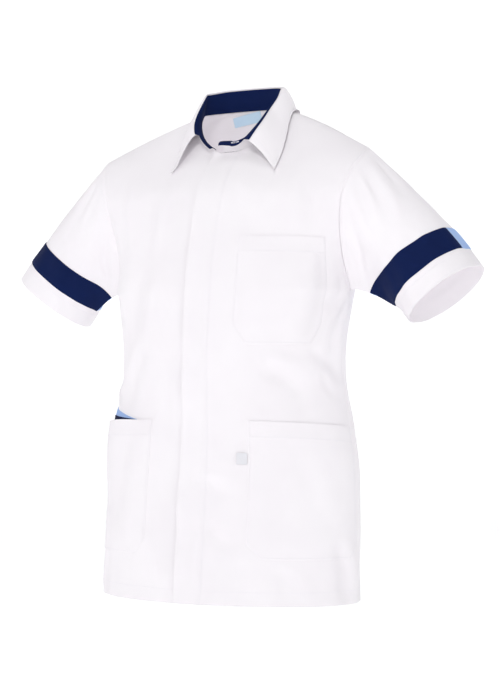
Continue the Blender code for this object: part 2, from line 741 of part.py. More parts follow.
def main():
    for thing in list(bpy.data.objects):
        bpy.data.objects.remove(thing, do_unlink=True)

    cloth = Cloth()
    left, right, back, front_cells, back_cells, sleeves, sleeve_cells = build_body(cloth)
    normals = {
        "left": cloth.normals(left),
        "right": cloth.normals(right),
        "back": cloth.normals(back),
        1: cloth.normals(sleeves[1]),
        -1: cloth.normals(sleeves[-1]),
    }

    under = np.zeros(right.shape[:2])
    for c, degrees in enumerate(FRONT_COLUMNS):
        under[:, c] = -UNDERLAP_DEPTH * (1 - ramp(degrees, EDGE, 17))
    neck = len(BODY) + len(CHEST) - 1
    for r in range(neck + 1, right.shape[0]):
        under[r, :] = 0.0

    wall("left_front", left, normals["left"], front_cells, False, CLOTH, "white")
    wall("right_front", right, normals["right"], front_cells, True, CLOTH, "white", under)
    wall("back", back, normals["back"], back_cells, True, CLOTH, "white")

    heights = [row[0] for row in BODY] + [row[1] for row in CHEST]
    placket = cells_of((0, neck), (0, FRONT_COLUMNS.index(EDGE)))
    lift = GAP + APPLIED
    wall("front_placket", left, normals["left"], placket, False, APPLIED, "white", lift)

    pocket = pocket_cells(heights, *CHEST_POCKET)
    wall("chest_pocket", left, normals["left"], pocket, False, APPLIED, "white", lift)
    pocket = pocket_cells(heights, *LOWER_POCKET)
    open_left = gape_lift(left, GAPE_LEFT)
    open_right = gape_lift(right, GAPE_RIGHT)
    wall("left_pocket", left, normals["left"], pocket, False, APPLIED, "white", open_left)
    wall("right_pocket", right, normals["right"], pocket, True, APPLIED, "white", open_right)

    mouth = heights.index(LOWER_POCKET[2])
    first, last = FRONT_COLUMNS.index(TAPE_FROM), FRONT_COLUMNS.index(LOWER_POCKET[1])
    for name, row, colour in (("mouth_tape_navy", mouth, "navy"), ("mouth_tape_blue", mouth + 1, "light")):
        cells = cells_of((row, row + 1), (first, last))
        cells[0] = cells[0][:3]
        wall(name, right, normals["right"], cells, True, TAPE_CLOTH, colour, GAP + TAPE_CLOTH)

    count = sleeves[1].shape[1]
    bottom = len(NECK_ROWS) + len(CHEST) - 1
    rows = len(SLEEVE_STEPS)
    for side, word in ((1, "left"), (-1, "right")):
        grid, n = sleeves[side], normals[side]
        flip = side < 0
        wall(word + "_sleeve", grid, n, sleeve_cells, flip, CLOTH, "white")
        front = cells_of((rows, rows + 2), (1, bottom), wrap=count)
        behind = cells_of((rows, rows + 2), (bottom, count), wrap=count)
        behind += cells_of((rows, rows + 2), (0, 1), wrap=count)
        wall(word + "_band_front", grid, n, front, flip, APPLIED, "navy", lift)
        wall(word + "_band_back", grid, n, behind, flip, APPLIED, "light", lift)
        hem = cells_of((rows + 3, rows + 4), (0, count), wrap=count)
        wall(word + "_cuff_hem", grid, n, hem, flip, APPLIED, "white", -CLOTH - GAP)

    feet = neck_columns(left, right, back)
    stand = stand_grid(feet)
    n = local_normals(stand)
    columns = len(feet) - 1
    cells = cells_of((0, STAND_STEPS), (0, columns))
    flip = float(n[0][columns // 2] @ np.array((0, 1, 0))) < 0
    if flip:
        n = -n
    stand_facing = n
    wall("collar_stand", stand, n, cells, flip, STAND_CLOTH, "white")
    inside = -STAND_CLOTH - LINING_GAP
    wall("stand_lining", stand, n, cells, flip, LINING_CLOTH, "navy", inside, LINING_PULL)

    points, directions = [], []
    for grid, key in ((left, "left"), (right, "right"), (back, "back")):
        p, d = fine_surface(grid, normals[key])
        points += p
        directions += d
    leaf = leaf_grid(stand, np.array(points), np.array(directions))
    n = local_normals(leaf)
    if float(n[-1][leaf.shape[1] // 2] @ np.array((0, 1, 0))) < 0:
        n = -n
        flip = True
    else:
        flip = False
    cells = cells_of((0, leaf.shape[0] - 1), (0, leaf.shape[1] - 1))
    wall("collar_leaf", leaf, n, cells, flip, LEAF_CLOTH, "white", LEAF_CLOTH / 2)

    row = heights.index(-0.545)
    column = FRONT_COLUMNS.index(17)
    spots = ((row + 0.52, row + 0.88), (column + 0.30, column + 0.62, column + 0.95))
    label("pocket_label", left, normals["left"], *spots, LABEL_LIFT, LABEL_CLOTH, "white", False)

    nape = len(BODY) + len(BLADES) - 1
    half = len(BACK_COLUMNS)
    spots = ((nape - 0.50, nape - 0.25, nape - 0.06), (half - 2.4, half - 2, half - 1))
    label("neck_label", back, normals["back"], *spots, -CLOTH - 0.0008, LABEL_CLOTH, "light", True)

    last = stand.shape[1] - 1
    at, facing = on_panel(stand, stand_facing, 1.6, last - 0.55, 0.0)
    button("collar_button", at + facing * BUTTON_LIFT, facing)


main()
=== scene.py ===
"""Short-sleeved medical tunic, as worn, in white twill with navy and light blue trim.

Each cloth piece is a thin sheet laid on the same sections as its solid: a
surface worked out from short tables, drawn in by listed folds.  What lies
on a panel (placket, pockets, bands, labels, stitches) is read from the panel's
own surface and lifted off it.  Metres, front towards -Y, wearer's left +X.
"""

import math

import bmesh
import bpy
import numpy as np
from mathutils import Matrix, Vector
from mathutils.kdtree import KDTree


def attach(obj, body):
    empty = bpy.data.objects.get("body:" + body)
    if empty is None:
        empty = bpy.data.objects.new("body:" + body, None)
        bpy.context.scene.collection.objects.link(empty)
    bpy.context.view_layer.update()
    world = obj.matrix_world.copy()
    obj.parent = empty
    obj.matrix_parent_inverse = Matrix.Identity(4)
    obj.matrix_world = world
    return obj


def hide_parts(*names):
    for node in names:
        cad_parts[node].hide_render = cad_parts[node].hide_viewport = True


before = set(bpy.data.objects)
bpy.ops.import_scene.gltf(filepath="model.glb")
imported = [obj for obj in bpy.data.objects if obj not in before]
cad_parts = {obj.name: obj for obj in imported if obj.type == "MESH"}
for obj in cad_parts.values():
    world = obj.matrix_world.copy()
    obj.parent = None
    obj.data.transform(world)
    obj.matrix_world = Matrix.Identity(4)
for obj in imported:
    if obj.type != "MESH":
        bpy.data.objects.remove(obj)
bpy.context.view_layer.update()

# Cloth, in metres
CLOTH = 0.0009
APPLIED = 0.0008
LEAF_CLOTH = 0.0011
GAP = 0.0003
UNDERLAP_DEPTH = 0.00178

# Neckline, seen from above: half width, front and back reach, front drop
NECK_HALF = 0.069
NECK_FRONT = 0.057
NECK_BACK = 0.052
NECK_DROP = 0.066
NECK_RISE = 0.010

# Heights that divide the panels, and how far the shoulders run on past the neck
HEM = -0.722
ARMPIT = -0.272
NECK_ROW = -0.066
FRONT_TOP = 0.034
NAPE_ROW = 0.010
BACK_TOP = 0.100

# Below the armholes: height, half width, front centre y, back centre y,
# side seam y, side drop
BODY = np.array((
    (-0.722, 0.2040, -0.1815, 0.083, -0.047, 0.002),
    (-0.700, 0.2042, -0.1790, 0.083, -0.047, 0.002),
    (-0.655, 0.2040, -0.1735, 0.082, -0.046, 0.004),
    (-0.633, 0.2034, -0.1710, 0.082, -0.045, 0.005),
    (-0.590, 0.2022, -0.1665, 0.081, -0.043, 0.006),
    (-0.545, 0.2005, -0.1620, 0.079, -0.041, 0.008),
    (-0.500, 0.1972, -0.1580, 0.076, -0.040, 0.010),
    (-0.459, 0.1910, -0.1558, 0.072, -0.039, 0.011),
    (-0.420, 0.1826, -0.1548, 0.069, -0.038, 0.003),
    (-0.383, 0.1780, -0.1545, 0.068, -0.038, 0.002),
    (-0.347, 0.1786, -0.1540, 0.070, -0.037, 0.003),
    (-0.314, 0.1830, -0.1520, 0.075, -0.036, 0.002),
    (-0.272, 0.1910, -0.1485, 0.080, -0.036, 0.000),
))

# Front above the armhole's foot: height, centre y, share of the armhole, turn
# of the section, roundness.  From NECK_ROW on the inner end is the neckline.
CHEST = np.array((
    (-0.272, -0.1485, 0.00, 90, 1.00),
    (-0.234, -0.1410, 0.15, 80, 1.00),
    (-0.195, -0.1310, 0.33, 73, 1.00),
    (-0.156, -0.1190, 0.49, 68, 1.00),
    (-0.118, -0.1030, 0.61, 64, 0.95),
    (-0.090, -0.0810, 0.70, 62, 0.85),
    (-0.066, -0.0570, 0.78, 60, 0.75),
    (-0.046, 0, 0.83, 55, 0.65),
    (-0.026, 0, 0.875, 48, 0.50),
    (-0.006, 0, 0.92, 40, 0.40),
    (0.014, 0, 0.96, 30, 0.30),
    (0.034, 0, 1.00, 20, 0.20),
))

# Back above the armhole's foot, columns as in CHEST
BLADES = np.array((
    (-0.272, 0.0800, 0.00, 90, 1.00),
    (-0.234, 0.0840, 0.15, 82, 1.00),
    (-0.194, 0.0865, 0.33, 75, 1.00),
    (-0.153, 0.0870, 0.49, 70, 1.00),
    (-0.110, 0.0850, 0.61, 66, 0.95),
    (-0.068, 0.0800, 0.71, 62, 0.85),
    (-0.028, 0.0680, 0.79, 58, 0.75),
    (0.010, 0.0520, 0.855, 52, 0.60),
    (0.0325, 0, 0.89, 45, 0.50),
    (0.055, 0, 0.925, 38, 0.40),
    (0.0775, 0, 0.96, 30, 0.30),
    (0.100, 0, 1.00, 20, 0.20),
))

# Armhole seam from its foot to the shoulder point: share, x, y, z
ARMHOLE_FRONT = np.array((
    (0.00, 0.1910, -0.0360, -0.272),
    (0.15, 0.1870, -0.0500, -0.238),
    (0.33, 0.1860, -0.0640, -0.199),
    (0.50, 0.1900, -0.0755, -0.162),
    (0.65, 0.1965, -0.0790, -0.128),
    (0.80, 0.2075, -0.0670, -0.096),
    (0.92, 0.2160, -0.0480, -0.076),
    (1.00, 0.2205, -0.0340, -0.068),
))
ARMHOLE_BACK = np.array((
    (0.00, 0.1910, -0.0360, -0.272),
    (0.15, 0.1875, -0.0180, -0.238),
    (0.33, 0.1880, -0.0010, -0.198),
    (0.50, 0.1920, 0.0080, -0.161),
    (0.65, 0.1990, 0.0090, -0.128),
    (0.80, 0.2100, 0.0020, -0.095),
    (0.92, 0.2170, -0.0170, -0.076),
    (1.00, 0.2205, -0.0340, -0.068),
))

# Columns are angles: 0 at the centre, 90 at the side seam or the armhole
EDGE = 6.2
SPREAD_FROM = 66.5

# Main creases of the body: start angle and height, end angle and height, bow,
# half width, depth, side of the low ridge beside it.  Angles run from the
# front centre, + to the wearer's left, 180 at the back.
FOLDS = (
    (-33, -0.140, -45, -0.330, 0.010, 0.022, 0.0048, 1),
    (-36, -0.365, -46, -0.450, -0.006, 0.018, 0.0040, -1),
    (34, -0.385, 56, -0.430, 0.005, 0.017, 0.0038, 1),
    (66, -0.230, 60, -0.340, 0.006, 0.020, 0.0046, -1),
    (72, -0.640, 80, -0.722, 0.004, 0.018, 0.0045, 1),
    (-74, -0.560, -82, -0.722, -0.006, 0.020, 0.0045, -1),
    (12, -0.118, 16, -0.186, 0.004, 0.014, 0.0022, 1),
    (-13, -0.112, -22, -0.235, 0.008, 0.017, 0.0026, -1),
    (-22, -0.275, -12, -0.385, -0.007, 0.018, 0.0024, 1),
    (46, -0.105, 58, -0.175, 0.005, 0.016, 0.0026, -1),
    (-52, -0.100, -62, -0.190, -0.006, 0.017, 0.0030, 1),
    (-80, -0.262, -60, -0.318, 0.006, 0.013, 0.0040, 1),
    (-84, -0.290, -70, -0.392, 0.008, 0.015, 0.0036, -1),
    (80, -0.258, 70, -0.300, 0.004, 0.012, 0.0036, 1),
    (84, -0.292, 76, -0.372, -0.005, 0.014, 0.0034, 1),
    (62, -0.362, 86, -0.402, 0.006, 0.014, 0.0026, -1),
    (68, -0.405, 90, -0.440, -0.004, 0.013, 0.0022, 1),
    (-62, -0.398, -88, -0.418, 0.005, 0.013, 0.0036, 1),
    (-56, -0.432, -78, -0.452, -0.004, 0.011, 0.0026, -1),
    (3, -0.545, 12, -0.572, 0.003, 0.012, 0.0020, 1),
    (8, -0.612, 19, -0.640, -0.003, 0.012, 0.0022, -1),
    (-41, -0.500, -49, -0.620, 0.006, 0.018, 0.0030, 1),
    (-12, -0.430, -20, -0.520, 0.005, 0.016, 0.0022, -1),
    (-26, -0.650, -20, -0.722, -0.003, 0.016, 0.0028, 1),
    (-56, -0.668, -60, -0.722, 0.002, 0.013, 0.0026, -1),
    (40, -0.672, 45, -0.722, 0.002, 0.013, 0.0024, 1),
    (22, -0.664, 24, -0.722, -0.002, 0.015, 0.0022, -1),
    (47, -0.500, 56, -0.610, 0.005, 0.018, 0.0022, 1),
    (150, -0.330, 118, -0.420, 0.008, 0.021, 0.0054, 1),
    (-150, -0.340, -120, -0.410, -0.006, 0.020, 0.0052, -1),
    (165, -0.480, 160, -0.722, 0.010, 0.026, 0.0050, 1),
    (-152, -0.500, -158, -0.722, -0.008, 0.025, 0.0048, -1),
    (176, -0.352, 150, -0.392, 0.005, 0.014, 0.0040, -1),
    (-170, -0.395, -140, -0.432, 0.006, 0.015, 0.0042, 1),
    (172, -0.432, 128, -0.468, -0.007, 0.016, 0.0036, 1),
    (168, -0.095, 138, -0.150, 0.008, 0.018, 0.0034, 1),
    (-166, -0.085, -134, -0.160, -0.006, 0.019, 0.0032, -1),
    (146, -0.185, 116, -0.262, 0.007, 0.017, 0.0044, -1),
    (-142, -0.176, -114, -0.268, -0.008, 0.018, 0.0042, 1),
    (112, -0.285, 134, -0.318, 0.005, 0.014, 0.0034, 1),
    (-108, -0.292, -132, -0.322, -0.004, 0.013, 0.0034, -1),
    (120, -0.520, 110, -0.700, 0.008, 0.020, 0.0038, 1),
    (-126, -0.540, -112, -0.715, -0.007, 0.020, 0.0040, 1),
    (138, -0.640, 141, -0.722, 0.003, 0.017, 0.0034, -1),
    (-178, -0.610, -176, -0.722, 0.003, 0.018, 0.0030, 1),
    (96, -0.640, 97, -0.722, 0.003, 0.014, 0.0034, -1),
    (-98, -0.600, -96, -0.722, -0.004, 0.016, 0.0036, 1),
)

# Shape of a crease: its width at its start and how it widens, in half widths,
# then the low ridge's height, place and breadth beside the trough
CREASE_START = 0.72
CREASE_WIDENS = 0.5
RIDGE_HIGH = 0.42
RIDGE_AT = 1.75
RIDGE_BREADTH = 0.7

# Where the creases die out: heights towards the armhole, distances from the
# middle there, and heights towards the neck
ARM_HEIGHTS = (-0.30, -0.22)
ARM_REACH = (0.150, 0.185)
NECK_HEIGHTS = (-0.075, -0.03)

# Faint waves all over: whole turns round the tube, turns per metre upwards,
# phase, height of the wave
WAVES = (
    (5, 3.2, 0.4, 0.00045),
    (-8, 5.9, 1.7, 0.00035),
    (12, -8.1, 2.9, 0.00022),
    (4, 12.4, 0.9, 0.00026),
    (-15, 10.3, 4.1, 0.00014),
    (20, 17.1, 5.3, 0.00010),
)

# The folds draw the cloth towards the middle of the body, which is deeper
# behind than in front, and their widths are measured at these radii.
MIDDLE_Y = -0.040
DEPTH_WEIGHT = 1.7
BODY_RADIUS = 0.165
SLEEVE_RADIUS = 0.062
SLEEVE_LENGTH = 0.22

# Sleeve: open end (middle, half way across to its top, half way to its back),
# coloured bands and hem measured up from it, the column where the band changes
# colour, how much the cap is carried outwards and upwards and the underarm
# upwards, and the middle at the seam
CUFF_CENTRE = np.array((0.3285, -0.0120, -0.280))
CUFF_ACROSS = np.array((0.0530, 0.0, 0.0400))
CUFF_BACK = np.array((0.0, 0.0600, -0.0060))
BAND_LOW = 0.033
BAND_HIGH = 0.073
BAND_SPLIT = 1.1
CUFF_HEM = 0.026
CAP = np.array((0.08, 0.0, 0.02))
UNDERARM = np.array((0.0, 0.0, 0.55))
CUFF_DRIVE = 0.95
SEAM_MIDDLE = np.array((0.20, -0.035, -0.17))

# Share of the armhole at each of the ring's columns: from the shoulder point
# down the front to the foot (11), and up the back again (22)
RING_FRONT = (1, 0.96, 0.92, 0.875, 0.83, 0.78, 0.70, 0.61, 0.49, 0.33, 0.15, 0)
RING_BACK = (0, 0.15, 0.33, 0.49, 0.61, 0.71, 0.79, 0.855, 0.89, 0.925, 0.96, 1)
RING = 22
FOOT = 11

# Sleeve creases: angle round the sleeve (0 top, 90 front) and distance from
# the seam at the start, the same at the end, bow, half width, depth, ridge
SLEEVE_FOLDS = (
    (60, 0.011, 104, 0.105, 0.006, 0.015, 0.0040, 1),
    (110, 0.000, 150, 0.062, -0.004, 0.013, 0.0042, -1),
    (300, 0.011, 250, 0.110, -0.006, 0.015, 0.0040, -1),
    (20, 0.006, 38, 0.085, 0.003, 0.010, 0.0024, 1),
    (340, 0.004, 322, 0.096, -0.003, 0.010, 0.0026, -1),
    (88, 0.012, 112, 0.080, 0.003, 0.009, 0.0026, 1),
    (140, 0.020, 172, 0.060, 0.004, 0.010, 0.0028, 1),
    (262, 0.010, 222, 0.080, -0.004, 0.010, 0.0030, -1),
    (232, 0.022, 200, 0.062, 0.003, 0.010, 0.0028, 1),
    (70, 0.120, 96, 0.220, 0.003, 0.014, 0.0020, -1),
    (12, 0.130, 2, 0.220, -0.002, 0.015, 0.0018, 1),
    (296, 0.125, 280, 0.220, 0.003, 0.014, 0.0020, 1),
)

# Pockets: first and last column, mouth, bottom, start of the cut corner
CHEST_POCKET = (17, 66.5, -0.195, -0.350, -0.316)
LOWER_POCKET = (24, 88, -0.459, -0.655, -0.633)
CORNER_CUT = 7.0
MOUTH_HEM = 0.024
GAPE_RIGHT = 0.0085
GAPE_LEFT = 0.0006
GAPE_DEPTH = 0.120
GAPE_FROM = 30
MOUTH = LOWER_POCKET[2]

# Collar stand, one row per neckline point from the wearer's left end to the
# right end: height, lean at the foot, lean at the top (degrees outwards) and
# how late it curls over
STAND = np.array((
    (0.0240, -8, 165, 1.6),
    (0.0262, -8, 166, 1.5),
    (0.0252, 2, 168, 1.4),
    (0.0250, 22, 50, 1.0),
    (0.0280, -8, -6, 1.0),
    (0.0290, -12, -12, 1.0),
    (0.0300, -13, -13, 1.0),
    (0.0310, -13, -13, 1.0),
    (0.0320, -15, -15, 1.0),
    (0.0320, -16, -16, 1.0),
    (0.0320, -16, -16, 1.0),
    (0.0320, -16, -16, 1.0),
    (0.0320, -15, -15, 1.0),
    (0.0310, -13, -13, 1.0),
    (0.0300, -10, -10, 1.0),
    (0.0285, -8, -8, 1.0),
    (0.0260, 2, 18, 1.0),
    (0.0200, 22, 70, 1.0),
    (0.0120, 50, 120, 1.0),
))
# Its columns at the front centre, the sides of the neck and the nape
CENTRE_COLUMN, LEFT_COLUMN, NAPE_COLUMN, RIGHT_COLUMN = 1, 6, 10, 14
STAND_CLOTH = 0.0013
LINING_CLOTH = 0.0007
STAND_RISE = 0.0006
STAND_START = 0.75
LINING_BEHIND = 0.0002
LINING_UP = (0.0012, 0.0004)
LINING_OVER = 0.0003
LINING_REACH = 0.27
LINING_LEFT = (5.0, 6.6)
LINING_RIGHT = (13.6, 15.2)
LINING_STEPS = (0.2, 0.4, 0.6, 0.8, 1.0)
LEAF_FROM = 2.45
LEAF_TO = 17

# Free edge of the collar leaf above each of those neckline points
LEAF_EDGE = np.array((
    (0.0910, -0.0820, -0.100),
    (0.0925, -0.0620, -0.072),
    (0.0905, -0.0430, -0.045),
    (0.0860, -0.0200, -0.020),
    (0.0820, 0.0040, -0.006),
    (0.0745, 0.0320, -0.004),
    (0.0570, 0.0560, -0.004),
    (0.0310, 0.0710, -0.004),
    (0.0, 0.0760, -0.004),
    (-0.0310, 0.0710, -0.004),
    (-0.0570, 0.0560, -0.004),
    (-0.0745, 0.0320, -0.004),
    (-0.0820, 0.0040, -0.006),
    (-0.0845, -0.0230, -0.026),
    (-0.0835, -0.0500, -0.060),
    (-0.0790, -0.0820, -0.100),
))
LEAF_CLEAR = 0.0044
LEAF_BESIDE = 0.008

# Stitching: pitch and length of one stitch, thickness of the thread
STITCH_PITCH = 0.0030
STITCH_LENGTH = 0.0023
THREAD = 0.00022
HEM_TURN = 0.020
SEWN_IN = 0.0022
ON_TOP = 0.0002

# Sewn edges: where the grid is set closer beside them, in degrees at a long
# seam, in shares of the sleeve, in columns of the leaf and in metres elsewhere,
# and how far the cloth dips into the seam
SEAM_EDGES = (0.25, 0.6, 1.1, 1.9)
ARMHOLE_EDGES = (0.004, 0.009, 0.016, 0.027)
LEAF_ENDS = (0.04, 0.1, 0.18, 0.28)
TOP_EDGES = (0.0008, 0.0018, 0.0032)
CUFF_EDGES = (0.0005, 0.0012, 0.0022, 0.0034)
NEAR_EDGE = (0.0004, 0.0010, 0.0017, 0.0026, 0.0040)
SEAM_DIP = 0.0006
SEAM_DIP_WIDTH = 0.55
ARMHOLE_DIP = 0.0008
ARMHOLE_DIP_WIDTH = 0.0022

# A folded edge: how far it rounds off, how far its stitches pull it down, and
# the breadth of both
EDGE_ROUND = 0.0007
EDGE_PULL = 0.00035
EDGE_BREADTH = 0.0009

# How far a piece laid on the body lies off it, and how far the left front's
# free edge stands off the right front
LYING = GAP + APPLIED
STAND_OFF = 0.0046

# Placket: metres to a degree beside the front edge, and how far it is pressed
# flat along its sewn side
PLACKET_SCALE = 0.0035
PRESSED = 0.00105
PRESSED_WIDTH = 0.006

# Pocket cloth: slack in its middle, and the step of its doubled mouth
POCKET_SLACK = 0.0009
MOUTH_STEP = 0.00025

# Tapes in the right pocket's mouth: low and high edge, lift off the front, and
# the columns over which they rise
TAPE_CLOTH = 0.0006
TAPE_NAVY = (MOUTH - 0.010, MOUTH + 0.009, GAP + 0.0012)
TAPE_BLUE = (MOUTH - 0.009, MOUTH + 0.020, GAP + 0.0004)
TAPE_FROM, TAPE_FULL = 35, 66

# Labels: cloth, then first and last column, low and high edge
LABEL_CLOTH = 0.0005
POCKET_LABEL = (19.1, 23.6, -0.5216, -0.5054)
POCKET_LABEL_LIFT = 0.0014
LABEL_CURL = 0.0016
NECK_LABEL = (-11.6, 0.6, -0.0058, 0.0098)
NECK_LABEL_CLEAR = 0.0007

# Collar leaf: how it leaves the stand, and the shares of its way from there
# over the roll to its edge
STAND_STEPS = 14
LEAF_FOOT = GAP + 0.0002
LEAF_RISE = 0.009
LEAF_FALL = 0.38
LEAF_OUT = 0.006
LEAF_UP = 0.008
LEAF_STITCHED = 0.005
LEAF_STEPS = np.concatenate((np.linspace(0, 0.3, 10), np.linspace(0.34, 0.99, 18), [0.995, 1.0]))
LINED_STEPS = 12

# Button and buttonhole: place on the stand (column, share of its height)
BUTTON_AT = (17.45, 0.4)
BUTTON_RADIUS = 0.0055
BUTTON_THICK = 0.0020
BUTTON_RIM = 0.0012
BUTTON_DISH = (0.0007, 0.0006)
BUTTON_SOFTNESS = 0.0003
HOLE_RADIUS = 0.00075
HOLE_SPREAD = 0.0014
BUTTONHOLE_AT = (1.8, 12 / STAND_STEPS)
BUTTONHOLE_HALF = (0.0060, 0.0012)
BUTTONHOLE_BARS = 30

# Threads of both: how far the button lies off the stand and the buttonhole off
# the lining, length and radius of a bar, and the button's two threads side by
# side through each pair of holes as x, y, z, turn
BUTTON_OFF = 0.0011
BUTTONHOLE_OFF = 0.0004
BUTTON_BAR = (0.0040, 0.00025)
BUTTONHOLE_BAR = (0.0014, 0.0004)
BUTTON_THREADS = (
    (0.0, 0.0014, 0.0016, 0),
    (0.0, -0.0014, 0.0016, 0),
    (0.0, 0.0017, 0.0015, 0),
    (0.0, -0.0011, 0.0015, 0),
)


# Plain maths


def curve(at, knots, values):
    """Smooth line through the knots, read at the places asked for."""
    at = np.asarray(at, float)
    knots = np.asarray(knots, float)
    values = np.asarray(values, float)
    slopes = np.gradient(values, knots, axis=0)
    i = np.clip(np.searchsorted(knots, at, side="right") - 1, 0, len(knots) - 2)
    step = knots[i + 1] - knots[i]
    t = np.clip((at - knots[i]) / step, 0.0, 1.0)
    if values.ndim > 1:
        t = t[..., None]
        step = step[..., None]
    a = (1 + 2 * t) * (1 - t) ** 2 * values[i] + t * (1 - t) ** 2 * slopes[i] * step
    b = t * t * (3 - 2 * t) * values[i + 1] + t * t * (t - 1) * slopes[i + 1] * step
    return a + b


def ramp(value, low, high):
    """0 below low, 1 above high and an even bend between."""
    t = np.clip((value - low) / (high - low), 0.0, 1.0)
    return t * t * (3 - 2 * t)


def read_line(at, knots, points):
    """Points of a line, read straight between its knots."""
    return np.stack([np.interp(at, knots, points[:, k]) for k in range(3)], axis=-1)


def unit(vectors):
    """The same directions, one long."""
    length = np.linalg.norm(vectors, axis=-1, keepdims=True)
    return vectors / np.maximum(length, 1e-12)


def close_set(low, high, count, ends, at_low=True, at_high=True):
    """Even steps from low to high, with closer ones beside a sewn edge."""
    even = list(np.linspace(low, high, count))
    if at_low:
        even += [low + e for e in ends]
    if at_high:
        even += [high - e for e in ends]
    return np.array(sorted(set(round(float(e), 7) for e in even)))


# Surfaces of the panels


def side_end(height, armhole, shares):
    """Side seam below the armhole's foot, the armhole seam above it."""
    low = np.minimum(height, ARMPIT)
    below = np.stack(
        (
            curve(low, BODY[:, 0], BODY[:, 1]),
            curve(low, BODY[:, 0], BODY[:, 4]),
            low - curve(low, BODY[:, 0], BODY[:, 5]),
        ),
        axis=-1,
    )
    share = curve(np.maximum(height, ARMPIT), shares[:, 0], shares[:, 2])
    above = curve(share, armhole[:, 0], armhole[:, 1:])
    return np.where((height > ARMPIT)[..., None], above, below)


def neck_point(share, back):
    """Neckline point, from the centre (0) to the side of the neck (1)."""
    angle = np.radians(90 * np.clip(share, 0, 1))
    x = NECK_HALF * np.sin(angle)
    if back:
        return np.stack((x, NECK_BACK * np.cos(angle), NECK_RISE * np.cos(angle)), axis=-1)
    z = -NECK_DROP * np.maximum(np.cos(angle), 0.0) ** 1.2
    return np.stack((x, -NECK_FRONT * np.cos(angle), z), axis=-1)


def centre_end(height, column, shares, row, top, back):
    """Centre line below the neckline, the neckline above it."""
    low = np.minimum(height, row)
    table = shares[shares[:, 0] <= row + 1e-6]
    knots = np.concatenate((BODY[:-1, 0], table[:, 0]))
    reach = np.concatenate((BODY[:-1, column], table[:, 1]))
    line = np.stack((low * 0, curve(low, knots, reach), low), axis=-1)
    neck = neck_point((height - row) / (top - row), back)
    return np.where((height > row)[..., None], neck, line)


def section_point(inner, outer, turn, roundness, degrees):
    """Points of the sections, from their centre end to their side end."""
    share = np.sin(np.radians(degrees))
    start = math.sin(math.radians(SPREAD_FROM))
    even = start + (1 - start) * (degrees - SPREAD_FROM) / (90 - SPREAD_FROM)
    blend = np.where(degrees > SPREAD_FROM, np.minimum(1.0, (90 - turn) / 17), 0.0)
    share = share + (even - share) * blend
    full = np.radians(turn)
    part = np.arcsin(np.clip(share * np.sin(full), -1, 1))
    bent = (1 - np.cos(part)) / (1 - np.cos(full))
    mix = (1 - roundness) * np.abs(share) + roundness * bent
    x = inner[..., 0] + (outer[..., 0] - inner[..., 0]) * share
    y = inner[..., 1] + (outer[..., 1] - inner[..., 1]) * mix
    z = inner[..., 2] + (outer[..., 2] - inner[..., 2]) * mix
    return np.stack((x, y, z), axis=-1)


def fold_depth(angle, height, folds, radius):
    """How far the creases draw the cloth in: a soft trough with a low ridge."""
    depth = np.zeros(np.broadcast(angle, height).shape)
    for a0, h0, a1, h1, bow, half, deep, lean in folds:
        away = (angle - a0 + 180) % 360 - 180
        along = (a1 - a0 + 180) % 360 - 180
        px, py = np.radians(away) * radius, height - h0
        lx, ly = math.radians(along) * radius, h1 - h0
        length = math.hypot(lx, ly)
        t = (px * lx + py * ly) / length**2
        off = (px * -ly + py * lx) / length
        inside = np.clip(t, 0, 1)
        off = off - bow * np.sin(math.pi * inside) ** 2
        beyond = (t - inside) * length
        off = np.sign(off) * np.hypot(off, beyond)
        wide = half * (CREASE_START + CREASE_WIDENS * inside)
        trough = np.exp(-((off / wide) ** 2))
        ridge = RIDGE_HIGH * np.exp(-((off * lean / wide - RIDGE_AT) ** 2) / RIDGE_BREADTH)
        fade = ramp(t, -0.25, 0.2) * (1 - ramp(t, 0.7, 1.25))
        depth = depth + deep * (trough - ridge) * fade
    return depth


def waves(angle, height):
    """Faint unevenness of worn cloth, the same after a whole turn."""
    around = np.radians(angle)
    total = 0.0
    for n, (turns, rise, phase, high) in enumerate(WAVES):
        wander = 0.6 * np.sin(7.0 * height + around + n)
        total = total + high * np.sin(turns * around + 2 * math.pi * rise * height + phase + wander)
    return total


def outwards(points):
    """Level direction away from the middle of the body."""
    level = points * (1, DEPTH_WEIGHT, 0)
    return unit(level - np.array((0, MIDDLE_Y * DEPTH_WEIGHT, 0)))


def folded(points, angle):
    """Body points drawn in by the creases; seams above the waist stay put."""
    depth = fold_depth(angle, points[..., 2], FOLDS, BODY_RADIUS)
    near_arm = ramp(points[..., 2], *ARM_HEIGHTS) * ramp(np.abs(points[..., 0]), *ARM_REACH)
    near_neck = ramp(points[..., 2], *NECK_HEIGHTS)
    depth = depth + waves(angle, points[..., 2])
    keep = (1 - near_arm) * (1 - near_neck)
    return points - outwards(points) * (depth * keep)[..., None]


def torso(side, behind):
    """Surface of one front, or of one half of the back: columns in degrees
    from its centre line, rows by height."""
    sections, armhole, reach, row, top = CHEST, ARMHOLE_FRONT, 2, NECK_ROW, FRONT_TOP
    if behind:
        sections, armhole, reach, row, top = BLADES, ARMHOLE_BACK, 3, NAPE_ROW, BACK_TOP

    def surface(degrees, height):
        degrees, height = np.broadcast_arrays(np.asarray(degrees, float), np.asarray(height, float))
        inner = centre_end(height, reach, sections, row, top, behind)
        outer = side_end(height, armhole, sections)
        above = np.maximum(height, ARMPIT)
        turn = curve(above, sections[:, 0], sections[:, 3])
        roundness = curve(above, sections[:, 0], sections[:, 4])
        points = section_point(inner, outer, turn, roundness, degrees)
        angle = 180 - degrees if behind else degrees
        return folded(points * (side, 1, 1), side * angle)

    return surface


